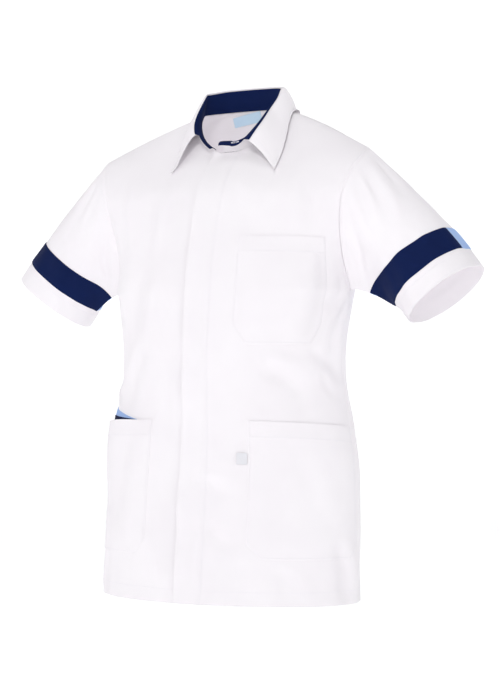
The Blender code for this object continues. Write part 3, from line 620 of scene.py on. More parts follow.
def sleeve(side):
    """Surface of a sleeve: columns round the ring, rows by distance from the open end."""

    def surface(column, from_end):
        column, from_end = np.broadcast_arrays(np.asarray(column, float), np.asarray(from_end, float))
        column = column % RING
        down = curve(column, range(FOOT + 1), RING_FRONT)
        up = curve(column, range(FOOT, RING + 1), RING_BACK)
        ahead = curve(down, ARMHOLE_FRONT[:, 0], ARMHOLE_FRONT[:, 1:])
        behind = curve(up, ARMHOLE_BACK[:, 0], ARMHOLE_BACK[:, 1:])
        start = np.where((column > FOOT)[..., None], behind, ahead)
        angle = 2 * math.pi * column / RING
        end = CUFF_CENTRE + CUFF_ACROSS * np.cos(angle)[..., None]
        end = end - CUFF_BACK * np.sin(angle)[..., None]
        length = np.linalg.norm(end - start, axis=-1, keepdims=True)
        lift = 0.5 * (1 + np.cos(angle))[..., None]
        first = unit((end - start) / length + lift * CAP + (1 - lift) ** 4 * UNDERARM)
        last = unit(np.cross(CUFF_BACK, CUFF_ACROSS))
        t = np.clip(1 - from_end[..., None] / length, 0, 1)
        points = (1 + 2 * t) * (1 - t) ** 2 * start + t * (1 - t) ** 2 * first * length
        points = points + t * t * (3 - 2 * t) * end + t * t * (t - 1) * last * length * CUFF_DRIVE
        t = t[..., 0]
        whole = np.degrees(angle)
        depth = fold_depth(whole, t * SLEEVE_LENGTH, SLEEVE_FOLDS, SLEEVE_RADIUS)
        depth = depth + waves(whole, t * SLEEVE_LENGTH)
        middle = CUFF_CENTRE * t[..., None] + SEAM_MIDDLE * (1 - t[..., None])
        points = points - unit(points - middle) * (depth * ramp(t, 0.02, 0.2))[..., None]
        return points * (side, 1, 1)

    return surface


def facing(surface, a, b, flip, limits_a, limits_b, step_a=0.4, step_b=0.002):
    """Outward directions of a surface, from small steps both ways."""
    a, b = np.broadcast_arrays(np.asarray(a, float), np.asarray(b, float))
    low_a, high_a = np.maximum(a - step_a, limits_a[0]), np.minimum(a + step_a, limits_a[1])
    low_b, high_b = np.maximum(b - step_b, limits_b[0]), np.minimum(b + step_b, limits_b[1])
    along = surface(high_a, b) - surface(low_a, b)
    up = surface(a, high_b) - surface(a, low_b)
    n = unit(np.cross(along, up))
    return -n if flip else n


class Panel:
    """A surface with its outward directions, which other pieces are laid on."""

    def __init__(self, surface, flip, limits_a, limits_b, step_a=0.4):
        self.surface = surface
        self.flip = flip
        self.limits = (limits_a, limits_b)
        self.step_a = step_a

    def at(self, a, b, lift=0.0):
        """Points over the panel, and the way it faces there."""
        n = facing(self.surface, a, b, self.flip, *self.limits, step_a=self.step_a)
        lift = np.asarray(lift, float)
        return self.surface(a, b) + n * lift[..., None], n


FRONT_LIMITS = ((-EDGE, 90), (HEM, FRONT_TOP))
BACK_LIMITS = ((0, 90), (HEM, BACK_TOP))
panels = {
    "left_front": Panel(torso(1, False), False, *FRONT_LIMITS),
    "right_front": Panel(torso(-1, False), True, *FRONT_LIMITS),
    "back_left": Panel(torso(1, True), True, *BACK_LIMITS),
    "back_right": Panel(torso(-1, True), False, *BACK_LIMITS),
    "left_sleeve": Panel(sleeve(1), True, (-99, 99), (0, 1), 0.1),
    "right_sleeve": Panel(sleeve(-1), False, (-99, 99), (0, 1), 0.1),
}


# Materials


def colour(code):
    """An sRGB hex colour as linear red, green, blue and alpha."""
    parts = [int(code[i : i + 2], 16) / 255 for i in (1, 3, 5)]
    linear = [p / 12.92 if p <= 0.04045 else ((p + 0.055) / 1.055) ** 2.4 for p in parts]
    return (*linear, 1.0)


def add_node(tree, kind, settings=None, inputs=None, links=None):
    """A node with its settings, the values on its sockets and what feeds them."""
    node = tree.nodes.new(kind)
    for name, value in (settings or {}).items():
        setattr(node, name, value)
    for name, value in (inputs or {}).items():
        node.inputs[name].default_value = value
    for name, socket in (links or {}).items():
        tree.links.new(socket, node.inputs[name])
    return node


def ribs_per_metre(pitch):
    """Scale of a wave texture whose bands lie this far apart, in metres."""
    return 2 * math.pi / (20 * pitch)


def woven(name, base, darker, rib, slant, relief, roughness, sheen):
    """Woven cloth: diagonal ribs on the sheet's own UV map, which is in metres,
    over a slow change of tone from wear and washing."""
    made = bpy.data.materials.new(name)
    made.use_nodes = True
    tree = made.node_tree
    shader = tree.nodes["Principled BSDF"]
    shader.inputs["Roughness"].default_value = roughness
    shader.inputs["Sheen Weight"].default_value = sheen
    shader.inputs["Sheen Roughness"].default_value = 0.5
    shader.inputs["Specular IOR Level"].default_value = 0.12
    where = add_node(tree, "ShaderNodeTexCoord")
    turned = add_node(
        tree,
        "ShaderNodeMapping",
        inputs={"Rotation": (0, 0, math.radians(slant))},
        links={"Vector": where.outputs["UV"]},
    )
    ribs = add_node(
        tree,
        "ShaderNodeTexWave",
        inputs={"Scale": ribs_per_metre(rib), "Distortion": 0.6, "Detail": 1.0, "Detail Scale": 2.0},
        links={"Vector": turned.outputs["Vector"]},
    )
    threads = add_node(
        tree,
        "ShaderNodeTexNoise",
        inputs={"Scale": 420.0, "Detail": 2.0},
        links={"Vector": where.outputs["UV"]},
    )
    tone = add_node(
        tree,
        "ShaderNodeTexNoise",
        inputs={"Scale": 7.0, "Detail": 3.0, "Roughness": 0.6},
        links={"Vector": where.outputs["Object"]},
    )
    shade = add_node(tree, "ShaderNodeMix", {"data_type": "RGBA"})
    shade.inputs[6].default_value = colour(base)
    shade.inputs[7].default_value = colour(darker)
    share = add_node(
        tree,
        "ShaderNodeMapRange",
        inputs={"From Min": 0.3, "From Max": 0.8, "To Min": 0.0, "To Max": 1.0},
        links={"Value": tone.outputs["Fac"]},
    )
    tree.links.new(share.outputs["Result"], shade.inputs[0])
    tree.links.new(shade.outputs[2], shader.inputs["Base Color"])
    both = add_node(
        tree,
        "ShaderNodeMath",
        {"operation": "MULTIPLY_ADD"},
        {1: 0.6},
        {0: threads.outputs["Fac"], 2: ribs.outputs["Fac"]},
    )
    bump = add_node(
        tree,
        "ShaderNodeBump",
        inputs={"Strength": relief, "Distance": 0.00012},
        links={"Height": both.outputs["Value"]},
    )
    tree.links.new(bump.outputs["Normal"], shader.inputs["Normal"])
    return made


def plain(name, base, roughness, coat=0.0, grain=0.0):
    """Moulded or twisted stuff with at most a fine grain."""
    made = bpy.data.materials.new(name)
    made.use_nodes = True
    tree = made.node_tree
    shader = tree.nodes["Principled BSDF"]
    shader.inputs["Base Color"].default_value = colour(base)
    shader.inputs["Roughness"].default_value = roughness
    shader.inputs["Coat Weight"].default_value = coat
    where = add_node(tree, "ShaderNodeTexCoord")
    rough = add_node(
        tree,
        "ShaderNodeTexNoise",
        inputs={"Scale": 900.0, "Detail": 2.0},
        links={"Vector": where.outputs["Object"]},
    )
    bump = add_node(
        tree,
        "ShaderNodeBump",
        inputs={"Strength": grain, "Distance": 0.0001},
        links={"Height": rough.outputs["Fac"]},
    )
    tree.links.new(bump.outputs["Normal"], shader.inputs["Normal"])
    return made


# Bleached polyester and cotton twill: matt, nearly white, a breath of lilac in
# its shadows.  Real ribs are 0.4 mm apart; drawn at 0.9 mm so that they show.
WHITE_TWILL = woven("white_twill", "#F2EFF2", "#EDE9ED", 0.0009, 38, 0.35, 0.82, 0.10)
# The same twill piece-dyed navy: deep, with a faint pale bloom at grazing angles.
NAVY_TWILL = woven("navy_twill", "#071B4A", "#061640", 0.0009, 38, 0.45, 0.80, 0.01)
# The same twill piece-dyed pale blue.
LIGHT_BLUE_TWILL = woven("light_blue_twill", "#A3BFEC", "#98B5E6", 0.0009, 38, 0.40, 0.78, 0.10)
# Satin-woven label tape: smoother than the cloth, with fine cross ribs.
BLUE_LABEL = woven("blue_label_satin", "#C9E2F4", "#BFDAF0", 0.0006, 90, 0.20, 0.45, 0.05)
WHITE_LABEL = woven("white_label_satin", "#E4E4E8", "#DADAE0", 0.0006, 90, 0.20, 0.45, 0.05)
# Spun polyester thread: a little smoother and less bright than the twill.
WHITE_THREAD = plain("white_sewing_thread", "#E7E6EE", 0.6, grain=0.3)
# Pressed polyester button: milky, smooth, with a soft gloss.
BUTTON_RESIN = plain("white_button_resin", "#EFEFEE", 0.22, coat=0.3, grain=0.02)


# Making pieces


def only(thing):
    """Deselects everything else and makes this the active object."""
    bpy.ops.object.select_all(action="DESELECT")
    thing.select_set(True)
    bpy.context.view_layer.objects.active = thing


def lay(name, points, normals, material, thick, keep=None, wrap=False, merge=False):
    """A sheet through a grid of points, given its thickness inwards."""
    rows, columns = points.shape[:2]
    lengths = np.linalg.norm(np.diff(points, axis=1), axis=2).mean(axis=0)
    heights = np.linalg.norm(np.diff(points, axis=0), axis=2).mean(axis=1)
    u = np.concatenate(([0.0], np.cumsum(lengths)))
    v = np.concatenate(([0.0], np.cumsum(heights)))
    r, c = np.meshgrid(np.arange(rows - 1), np.arange(columns - 1), indexing="ij")
    if keep is not None:
        r, c = r[keep], c[keep]
    r, c = r.ravel(), c.ravel()
    corners_r = np.stack((r, r, r + 1, r + 1), axis=1)
    corners_c = np.stack((c, c + 1, c + 1, c), axis=1)
    middle = len(r) // 2
    i, j = r[middle], c[middle]
    face_way = np.cross(points[i, j + 1] - points[i, j], points[i + 1, j] - points[i, j])
    if face_way @ normals[i, j] < 0:
        corners_r = corners_r[:, ::-1]
        corners_c = corners_c[:, ::-1]
    last = columns - 1
    spot_c = np.where(corners_c == last, 0, corners_c) if wrap else corners_c
    spots = corners_r * columns + spot_c
    used, faces = np.unique(spots, return_inverse=True)
    faces = faces.reshape(spots.shape)
    mesh = bpy.data.meshes.new(name)
    mesh.vertices.add(len(used))
    mesh.vertices.foreach_set("co", points.reshape(-1, 3)[used].astype(np.float32).ravel())
    mesh.loops.add(faces.size)
    mesh.loops.foreach_set("vertex_index", faces.astype(np.int32).ravel())
    mesh.polygons.add(len(faces))
    mesh.polygons.foreach_set("loop_start", np.arange(0, faces.size, 4, dtype=np.int32))
    uv = mesh.uv_layers.new(name="cloth_metres")
    flat = np.stack((u[corners_c], v[corners_r]), axis=-1)
    uv.data.foreach_set("uv", flat.astype(np.float32).ravel())
    mesh.update(calc_edges=True)
    mesh.validate()
    thing = bpy.data.objects.new(name + "_cloth", mesh)
    bpy.context.scene.collection.objects.link(thing)
    mesh.materials.append(material)
    only(thing)
    if merge:
        bpy.ops.object.mode_set(mode="EDIT")
        bpy.ops.mesh.select_all(action="SELECT")
        bpy.ops.mesh.remove_doubles(threshold=0.000002)
        bpy.ops.object.mode_set(mode="OBJECT")
    wall = thing.modifiers.new("thickness", "SOLIDIFY")
    wall.thickness = thick
    wall.offset = -1
    bpy.ops.object.modifier_apply(modifier=wall.name)
    bpy.ops.object.shade_smooth_by_angle(angle=math.radians(50))
    return thing


def stitches(name, runs, material):
    """Rows of stitches: each run is (points, outward directions) along a seam."""
    grain = np.array(((1, 0, 0), (0, 1, 0), (-1, 0, 0), (0, -1, 0), (0, 0, 1), (0, 0, -0.6)), float)
    sides = np.array(
        ((0, 1, 4), (1, 2, 4), (2, 3, 4), (3, 0, 4), (1, 0, 5), (2, 1, 5), (3, 2, 5), (0, 3, 5))
    )
    verts, faces, count = [], [], 0
    for points, normals in runs:
        steps = np.concatenate(([0.0], np.cumsum(np.linalg.norm(np.diff(points, axis=0), axis=1))))
        at = np.arange(STITCH_PITCH / 2, steps[-1], STITCH_PITCH)
        spot = read_line(at, steps, points)
        n = unit(read_line(at, steps, normals))
        near = STITCH_PITCH / 5
        along = unit(read_line(at + near, steps, points) - read_line(at - near, steps, points))
        across = np.cross(n, along)
        shape = (
            along[:, None] * grain[None, :, :1] * STITCH_LENGTH / 2
            + across[:, None] * grain[None, :, 1:2] * THREAD
            + n[:, None] * grain[None, :, 2:] * THREAD
        )
        verts.append((spot[:, None] + shape).reshape(-1, 3))
        base = count + 6 * np.arange(len(at))
        faces.append((base[:, None, None] + sides[None]).reshape(-1, 3))
        count += 6 * len(at)
    mesh = bpy.data.meshes.new(name)
    mesh.from_pydata(np.concatenate(verts).tolist(), [], np.concatenate(faces).tolist())
    mesh.update()
    thing = bpy.data.objects.new(name, mesh)
    bpy.context.scene.collection.objects.link(thing)
    mesh.materials.append(material)
    only(thing)
    bpy.ops.object.mode_set(mode="EDIT")
    bpy.ops.mesh.select_all(action="SELECT")
    bpy.ops.mesh.normals_make_consistent(inside=False)
    bpy.ops.object.mode_set(mode="OBJECT")
    bpy.ops.object.shade_smooth()
    return thing


def grid_on(panel, a, b, lift):
    """Rows and columns of points laid on a panel, with their directions."""
    aa, bb = np.meshgrid(a, b)
    height = lift(aa, bb) if callable(lift) else np.full(aa.shape, lift)
    return panel.at(aa, bb, height)


def eased(points, a, b, row, reach=0.030, passes=60):
    """Smooths the turn of the surface where its rows pass the neckline's foot.

    The neckline, the seams and everything far from that row stay as they are.
    """
    near = np.exp(-(((b[:, None] - row) / reach) ** 2))
    free = near * ramp(a[None, :], 3, 22) * (1 - ramp(a[None, :], 82, 89.5))
    free[0], free[-1] = 0, 0
    for _ in range(passes):
        middle = points.copy()
        middle[1:-1] = (points[:-2] + points[2:]) / 2
        points = points + (middle - points) * free[..., None]
    return points


def run_on(panel, a, b, lift):
    """One line of points laid on a panel, for a row of stitches."""
    a, b = np.broadcast_arrays(np.asarray(a, float), np.asarray(b, float))
    height = lift(a, b) if callable(lift) else np.full(a.shape, lift)
    return panel.at(a, b, height)


def metres_per_degree(panel, a, b):
    """Width of cloth in one column's degree."""
    step = panel.surface(a + 0.5, b) - panel.surface(a - 0.5, b)
    return np.linalg.norm(step, axis=-1)


# Fronts and back


def seam_dip(degrees):
    """The panel rolls in where it is sewn to the next one."""
    return -SEAM_DIP * np.exp(-(((90 - degrees) / SEAM_DIP_WIDTH) ** 2))


def underlap(degrees, height):
    """The right front passes under the left one."""
    under = -UNDERLAP_DEPTH * (1 - ramp(degrees, EDGE, 17)) * (height <= NECK_ROW + 1e-6)
    return under + seam_dip(degrees)


def stand_off(degrees, height):
    """The left front's free edge stands a little off the right front, unevenly."""
    uneven = 1.0 + 0.30 * np.sin(31 * height + 0.8) + 0.20 * np.sin(73 * height)
    return STAND_OFF * (1 - ramp(degrees, -EDGE, 9.0)) * uneven * ramp(NECK_ROW - height, 0.0, 0.05)


def front_piece(name, lift):
    """One front, cut away at the neckline and lifted or lowered at its edge."""
    panel = panels[name]
    a = close_set(-EDGE, 90, 84, SEAM_EDGES, at_low=False)
    a = np.array(sorted(set(a) | {0.0}))
    b = np.concatenate((np.linspace(HEM, NECK_ROW, 168), close_set(NECK_ROW, FRONT_TOP, 26, TOP_EDGES)[1:]))
    points, normals = grid_on(panel, a, b, lift)
    points = eased(points, a, b, NECK_ROW)
    rows, columns = len(b) - 1, len(a) - 1
    keep = ~((b[:rows, None] > NECK_ROW - 1e-6) & (a[None, :columns] < -1e-6))
    return lay(name, points, normals, WHITE_TWILL, CLOTH, keep, merge=True)


def back_piece():
    """The back in one piece, from its right half to its left."""
    half = close_set(0, 90, 70, SEAM_EDGES, at_low=False)
    b = np.concatenate((np.linspace(HEM, NAPE_ROW, 180), close_set(NAPE_ROW, BACK_TOP, 24, TOP_EDGES)[1:]))

    def lift(degrees, _):
        return seam_dip(degrees)

    right, right_n = grid_on(panels["back_right"], half[::-1], b, lift)
    left, left_n = grid_on(panels["back_left"], half, b, lift)
    right = eased(right, half[::-1], b, NAPE_ROW)
    left = eased(left, half, b, NAPE_ROW)
    points = np.concatenate((right, left), axis=1)
    normals = np.concatenate((right_n, left_n), axis=1)
    keep = np.ones((len(b) - 1, points.shape[1] - 1), bool)
    keep[:, len(half) - 1] = False
    return lay("back", points, normals, WHITE_TWILL, CLOTH, keep, merge=True)


left_front = front_piece("left_front", lambda a, b: seam_dip(a) + stand_off(a, b))
right_front = front_piece("right_front", underlap)
back_panel = back_piece()


# What lies on the fronts


def edge_roll(distance):
    """A folded edge is rounded, and its stitching pulls it down a little."""
    rounded = -EDGE_ROUND * np.exp(-((distance / EDGE_BREADTH) ** 2))
    pulled = -EDGE_PULL * np.exp(-(((distance - SEWN_IN) / EDGE_BREADTH) ** 2))
    return rounded + pulled


def placket_piece():
    """Facing of the left front's edge, with the row of stitches beside it."""
    panel = panels["left_front"]
    a = close_set(-EDGE, EDGE, 12, [e / PLACKET_SCALE for e in NEAR_EDGE])
    b = np.linspace(HEM, NECK_ROW, 200)

    def lift(a, b):
        flat = PRESSED * np.exp(-(((EDGE - a) * PLACKET_SCALE / PRESSED_WIDTH) ** 2))
        rolled = edge_roll((a + EDGE) * PLACKET_SCALE) * 0.6
        return LYING - flat + rolled + stand_off(a, b)

    points, normals = grid_on(panel, a, b, lift)
    piece = lay("front_placket", points, normals, WHITE_TWILL, APPLIED)
    run = run_on(panel, EDGE - SEWN_IN / PLACKET_SCALE, b, LYING + ON_TOP / 2)
    return piece, stitches("placket_stitches", [run], WHITE_THREAD)


def pocket_outline(pocket, height):
    """First and last column of a pocket at each height, with its cut corners."""
    first, last, _, low, corner = pocket
    t = np.clip((corner - height) / (corner - low), 0, 1)
    return first + CORNER_CUT * t**1.3, last - CORNER_CUT * t**1.3


def pocket_piece(name, side, pocket, gape):
    """A patch pocket with cut corners, a doubled mouth that may stand open, and
    its stitches."""
    panel = panels[side + "_front"]
    mouth, low = pocket[2], pocket[3]
    heights = set(np.linspace(low, mouth, 44))
    heights |= {low + e for e in NEAR_EDGE} | {mouth - e for e in NEAR_EDGE}
    heights |= {mouth - MOUTH_HEM + e for e in (-0.001, -0.0003, 0.0003, 0.001)}
    b = np.array(sorted(heights))
    centre = (pocket[0] + pocket[1]) / 2
    scale = float(metres_per_degree(panel, np.array(centre), np.array((mouth + low) / 2)))
    across = pocket[1] - pocket[0]
    share = close_set(0, 1, 36, [e / scale / across for e in NEAR_EDGE])
    first, last = pocket_outline(pocket, b)
    aa = first[:, None] + (last - first)[:, None] * share[None]
    bb = np.repeat(b[:, None], len(share), axis=1)

    def lift(a, b):
        first, last = pocket_outline(pocket, b)
        beside = np.minimum(a - first, last - a) * scale
        distance = np.minimum(beside, (b - low))
        doubled = MOUTH_STEP * ramp(b, mouth - MOUTH_HEM - 0.0012, mouth - MOUTH_HEM + 0.0012)
        open_at = ramp(mouth - b - 0.008, -0.02, GAPE_DEPTH)
        wide = np.clip((a - GAPE_FROM) / (pocket[1] - GAPE_FROM), 0, 1)
        held = gape * np.sin(math.pi * wide) ** 1.3 * (1 - open_at)
        inwards = ramp(beside, 0.004, 0.03) * ramp(b - low, 0.004, 0.03)
        slack = POCKET_SLACK * inwards * ramp(mouth - b, 0.0, 0.04)
        return LYING + edge_roll(distance) + doubled + held + slack

    points, normals = panel.at(aa, bb, lift(aa, bb))
    piece = lay(name, points, normals, WHITE_TWILL, APPLIED)
    inset = SEWN_IN / scale
    down = b[(b > low + SEWN_IN) & (b < mouth - 0.0005)][::-1]
    sides = pocket_outline(pocket, down)
    ends = pocket_outline(pocket, low + SEWN_IN)

    def on_top(a, b):
        return lift(a, b) + ON_TOP

    left_line = run_on(panel, sides[0] + inset, down, on_top)
    right_line = run_on(panel, sides[1] - inset, down, on_top)
    foot = run_on(panel, np.linspace(*ends, 40), low + SEWN_IN, on_top)
    hem_line = np.linspace(pocket[0] + inset, pocket[1] - inset, 60)
    hem = run_on(panel, hem_line, mouth - MOUTH_HEM + 0.002, on_top)
    sewn = stitches(name + "_stitches", [left_line, right_line, foot, hem], WHITE_THREAD)
    return piece, sewn


def tape_piece(name, tape, material):
    """A tape inside the right pocket's mouth, rising out of it towards the side."""
    panel = panels["right_front"]
    low, high, lift = tape
    a = np.linspace(TAPE_FROM, LOWER_POCKET[1], 24)
    share = np.linspace(0, 1, 5)
    rise = np.clip((a - TAPE_FROM) / (TAPE_FULL - TAPE_FROM), 0.02, 1)
    aa = np.repeat(a[None], 5, axis=0)
    bb = low + (MOUTH - low + (high - MOUTH) * rise[None]) * share[:, None]
    points, normals = panel.at(aa, bb, np.full(aa.shape, lift) + underlap(aa, bb))
    return lay(name, points, normals, material, TAPE_CLOTH)


placket, placket_stitches = placket_piece()
chest_pocket, chest_sewn = pocket_piece("chest_pocket", "left", CHEST_POCKET, 0.0)
left_pocket, left_sewn = pocket_piece("left_pocket", "left", LOWER_POCKET, GAPE_LEFT)
right_pocket, right_sewn = pocket_piece("right_pocket", "right", LOWER_POCKET, GAPE_RIGHT)
tape_navy = tape_piece("mouth_tape_navy", TAPE_NAVY, NAVY_TWILL)
tape_blue = tape_piece("mouth_tape_blue", TAPE_BLUE, LIGHT_BLUE_TWILL)


# Sleeves


def sleeve_pieces(word):
    """A sleeve, its two bands, the hem inside its open end and the stitches."""
    panel = panels[word + "_sleeve"]
    columns = np.linspace(0, RING, 105)
    length = np.linalg.norm(panel.surface(columns, 0.0) - panel.surface(columns, 1.0), axis=-1)
    share = close_set(0, 1, 46, ARMHOLE_EDGES, at_high=False)
    aa = np.repeat(columns[None], len(share), axis=0)
    bb = (1 - share[:, None]) * length[None]
    dip = -ARMHOLE_DIP * np.exp(-((share[:, None] * length[None] / ARMHOLE_DIP_WIDTH) ** 2))
    points, normals = panel.at(aa, bb, dip)
    made = {"sleeve": lay(word + "_sleeve", points, normals, WHITE_TWILL, CLOTH, wrap=True)}

    def ring(name, low, high, first, last, steps, lift, material):
        a = np.linspace(first, last, int(round((last - first) * 5)) + 1)
        b = close_set(low, high, steps, CUFF_EDGES)

        def height(a, b):
            return lift + edge_roll(b - low) + edge_roll(high - b)

        points, normals = grid_on(panel, a, b, height if lift > 0 else lift)
        made[name] = lay(word + "_" + name, points, normals, material, APPLIED, wrap=last - first == RING)

    ring("band_front", BAND_LOW, BAND_HIGH, BAND_SPLIT, FOOT, 9, LYING, NAVY_TWILL)
    ring("band_back", BAND_LOW, BAND_HIGH, FOOT, RING + BAND_SPLIT, 9, LYING, LIGHT_BLUE_TWILL)
    ring("cuff_hem", 0.0, CUFF_HEM, 0, RING, 7, -CLOTH - GAP, WHITE_TWILL)
    round_it = np.linspace(0, RING, 200)
    cuff = run_on(panel, round_it, CUFF_HEM - 0.002, ON_TOP)
    made["cuff_stitches"] = stitches(word + "_cuff_stitches", [cuff], WHITE_THREAD)
    return made


left = sleeve_pieces("left")
right = sleeve_pieces("right")


# Collar


def neck_foot(column):
    """Foot of the stand, from its left end round the neck to its right end."""
    column = np.asarray(column, float)
    front_span, back_span = LEFT_COLUMN - CENTRE_COLUMN, NAPE_COLUMN - LEFT_COLUMN
    at_edge = -EDGE * (1 - np.clip(column, 0, CENTRE_COLUMN))
    left_end = torso(1, False)(at_edge, np.full(column.shape, NECK_ROW))
    ahead = neck_point((column - CENTRE_COLUMN) / front_span, False)
    behind = neck_point((NAPE_COLUMN - column) / back_span, True)
    behind_right = neck_point((column - NAPE_COLUMN) / back_span, True) * (-1, 1, 1)
    ahead_right = neck_point(1 - (column - RIGHT_COLUMN) / front_span, False) * (-1, 1, 1)
    picks = (
        (CENTRE_COLUMN, left_end),
        (LEFT_COLUMN, ahead),
        (NAPE_COLUMN, behind),
        (RIGHT_COLUMN, behind_right),
        (len(STAND), ahead_right),
    )
    out = np.zeros(column.shape + (3,))
    done = np.zeros(column.shape, bool)
    for limit, points in picks:
        now = (column <= limit) & ~done
        out[now] = points[now]
        done |= now
    return out


def stand_points(columns):
    """Collar stand: each section leans and curls outwards."""
    feet = neck_foot(columns)
    rows = curve(columns, range(len(STAND)), STAND)
    out = unit(feet * np.array((1 / NECK_HALF**2, 1 / NECK_FRONT**2, 0)))
    rise = STAND_RISE + 0.001 * (columns < 1.5)
    p = feet + rise[:, None] * np.array((0, 0, 1.0))
    line = [p]
    for s in range(STAND_STEPS):
        share = ((s + 0.5) / STAND_STEPS) ** rows[:, 3]
        lean = np.radians(rows[:, 1] + (rows[:, 2] - rows[:, 1]) * share)[:, None]
        step = out * np.sin(lean) + np.array((0, 0, 1.0)) * np.cos(lean)
        p = p + step * rows[:, :1] / STAND_STEPS
        line.append(p)
    return np.array(line)


def grid_normals(points, like):
    """Directions of a free grid, turned to agree with one sample direction."""
    n = unit(np.cross(np.gradient(points, axis=1), np.gradient(points, axis=0)))
    middle = n.shape[1] // 2
    return -n if n[0, middle] @ np.array(like) < 0 else n


def leaf_points(columns, body):
    """Collar leaf: rises from the stand, rolls over and falls to its edge."""
    stand = stand_points(columns)
    top = stand[-1]
    rise = unit(stand[-1] - stand[-2])
    along = np.interp(columns, (LEAF_FROM, 4, LEAF_TO), (0, 2, len(LEAF_EDGE) - 1))
    edge = curve(along, range(len(LEAF_EDGE)), LEAF_EDGE)
    fall = edge - top
    level = unit(fall * (1, 1, 0))
    start = top + rise * LEAF_FOOT
    one = start + rise * LEAF_RISE
    two = start + fall * LEAF_FALL + level * LEAF_OUT + np.array((0, 0, LEAF_UP))
    rows = []
    for t in LEAF_STEPS:
        p = (1 - t) ** 3 * start + 3 * t * (1 - t) ** 2 * one
        rows.append(p + 3 * t * t * (1 - t) * two + t**3 * edge)
    grid = np.array(rows)
    tree, places, ways = body
    for i in np.ndindex(grid.shape[:2]):
        if i[0] < 5:
            continue
        for _ in range(3):
            _, k, far = tree.find(Vector(grid[i]))
            out = float((grid[i] - places[k]) @ ways[k])
            if out < LEAF_CLEAR and far**2 - out**2 < LEAF_BESIDE**2:
                grid[i] += ways[k] * (LEAF_CLEAR - out)
    return grid


def shoulder_surface():
    """Points of the fronts and back near the neck, for the leaf to rest over."""
    places, ways = [], []
    lowest = {"left_front": -0.20, "right_front": -0.20, "back_left": -0.10, "back_right": -0.10}
    for name, low in lowest.items():
        panel = panels[name]
        heights = np.linspace(low, panel.limits[1][1], 70)
        points, normals = grid_on(panel, np.linspace(0, 90, 60), heights, 0.0)
        places.append(points.reshape(-1, 3))
        ways.append(normals.reshape(-1, 3))
    places, ways = np.concatenate(places), np.concatenate(ways)
    tree = KDTree(len(places))
    for k, place in enumerate(places):
        tree.insert(Vector(place), k)
    tree.balance()
    return tree, places, ways


stand_columns = np.linspace(STAND_START, len(STAND) - 1, 150)
stand_grid = stand_points(stand_columns)
stand_ways = grid_normals(stand_grid, (0, 1, 0))
collar_stand = lay("collar_stand", stand_grid, stand_ways, WHITE_TWILL, STAND_CLOTH)

leaf_columns = close_set(LEAF_FROM, LEAF_TO, 116, LEAF_ENDS)
leaf_grid = leaf_points(leaf_columns, shoulder_surface())
leaf_ways = grid_normals(leaf_grid, (0, 0, 1))
if leaf_ways[-1, leaf_ways.shape[1] // 2] @ np.array((0, 1, 0)) < 0:
    leaf_ways = -leaf_ways


def lining_piece():
    """Navy lining of the stand, carried up into the leaf's roll at the front.

    It shows as a thin navy line along the roll, and not at the back.
    """
    inner = list(stand_grid - stand_ways * (STAND_CLOTH + LINING_BEHIND))
    top, last = inner[-1], unit(stand_grid[-1] - stand_grid[-2])
    left_reach = 1 - ramp(stand_columns, *LINING_LEFT)
    right_reach = ramp(stand_columns, *LINING_RIGHT) * 0.7
    reach = np.maximum(left_reach, right_reach)
    under_leaf = np.flatnonzero((stand_columns >= LEAF_FROM) & (stand_columns <= LEAF_TO))
    lies_on = leaf_grid + leaf_ways * (LEAF_CLOTH / 2 + LINING_OVER)
    for share in LINING_STEPS:
        row = top + last * LINING_UP[0] * share
        for n in under_leaf:
            line = np.array([read_line(stand_columns[n], leaf_columns, r) for r in lies_on[:LINED_STEPS]])
            carried = read_line(LINING_REACH * share * reach[n], LEAF_STEPS[:LINED_STEPS], line)
            row[n] = carried if reach[n] > 0.01 else top[n] + last[n] * LINING_UP[1] * share
        inner.append(row)
    grid = np.array(inner)
    return lay("stand_lining", grid, grid_normals(grid, (0, 1, 0)), NAVY_TWILL, LINING_CLOTH)


stand_lining = lining_piece()
collar_leaf = lay("collar_leaf", leaf_grid + leaf_ways * LEAF_CLOTH / 2, leaf_ways, WHITE_TWILL, LEAF_CLOTH)


def collar_stitches():
    """Top stitching inside the leaf's edge, and beside the stand's foot."""
    top = leaf_grid + leaf_ways * (LEAF_CLOTH / 2 + ON_TOP / 2)
    edge, inner = top[-1], top[-4]
    step = np.linalg.norm(edge - inner, axis=1, keepdims=True)
    along = edge + (inner - edge) * np.minimum(LEAF_STITCHED / step, 1)
    ways = leaf_ways[-1]
    runs = [(along[4:-4], ways[4:-4])]
    for column in (4, -5):
        runs.append((top[8:-3, column], leaf_ways[8:-3, column]))
    foot = stand_grid[1] + stand_ways[1] * ON_TOP
    runs.append((foot[20:-4], stand_ways[1][20:-4]))
    return stitches("collar_stitches", runs, WHITE_THREAD)


collar_sewing = collar_stitches()


# Labels, hems and the collar's fastening


def pocket_label_piece():
    """Blank flag caught in the hip pocket's side, curling off at its free end."""
    first, last, low, high = POCKET_LABEL
    spread, heights = np.linspace(first, last, 8), np.linspace(low, high, 8)
    points, normals = grid_on(panels["left_front"], spread, heights, POCKET_LABEL_LIFT)
    curl = np.linspace(1, 0, 8)[None, :, None] ** 2 * LABEL_CURL
    return lay("pocket_label", points + normals * curl, normals, WHITE_LABEL, LABEL_CLOTH)


def nape(degrees, height):
    """The back from its right half (below 0 degrees) to its left half."""
    halves = [torso(side, True)(np.abs(degrees), height) for side in (1, -1)]
    return np.where((degrees > 0)[..., None], *halves)


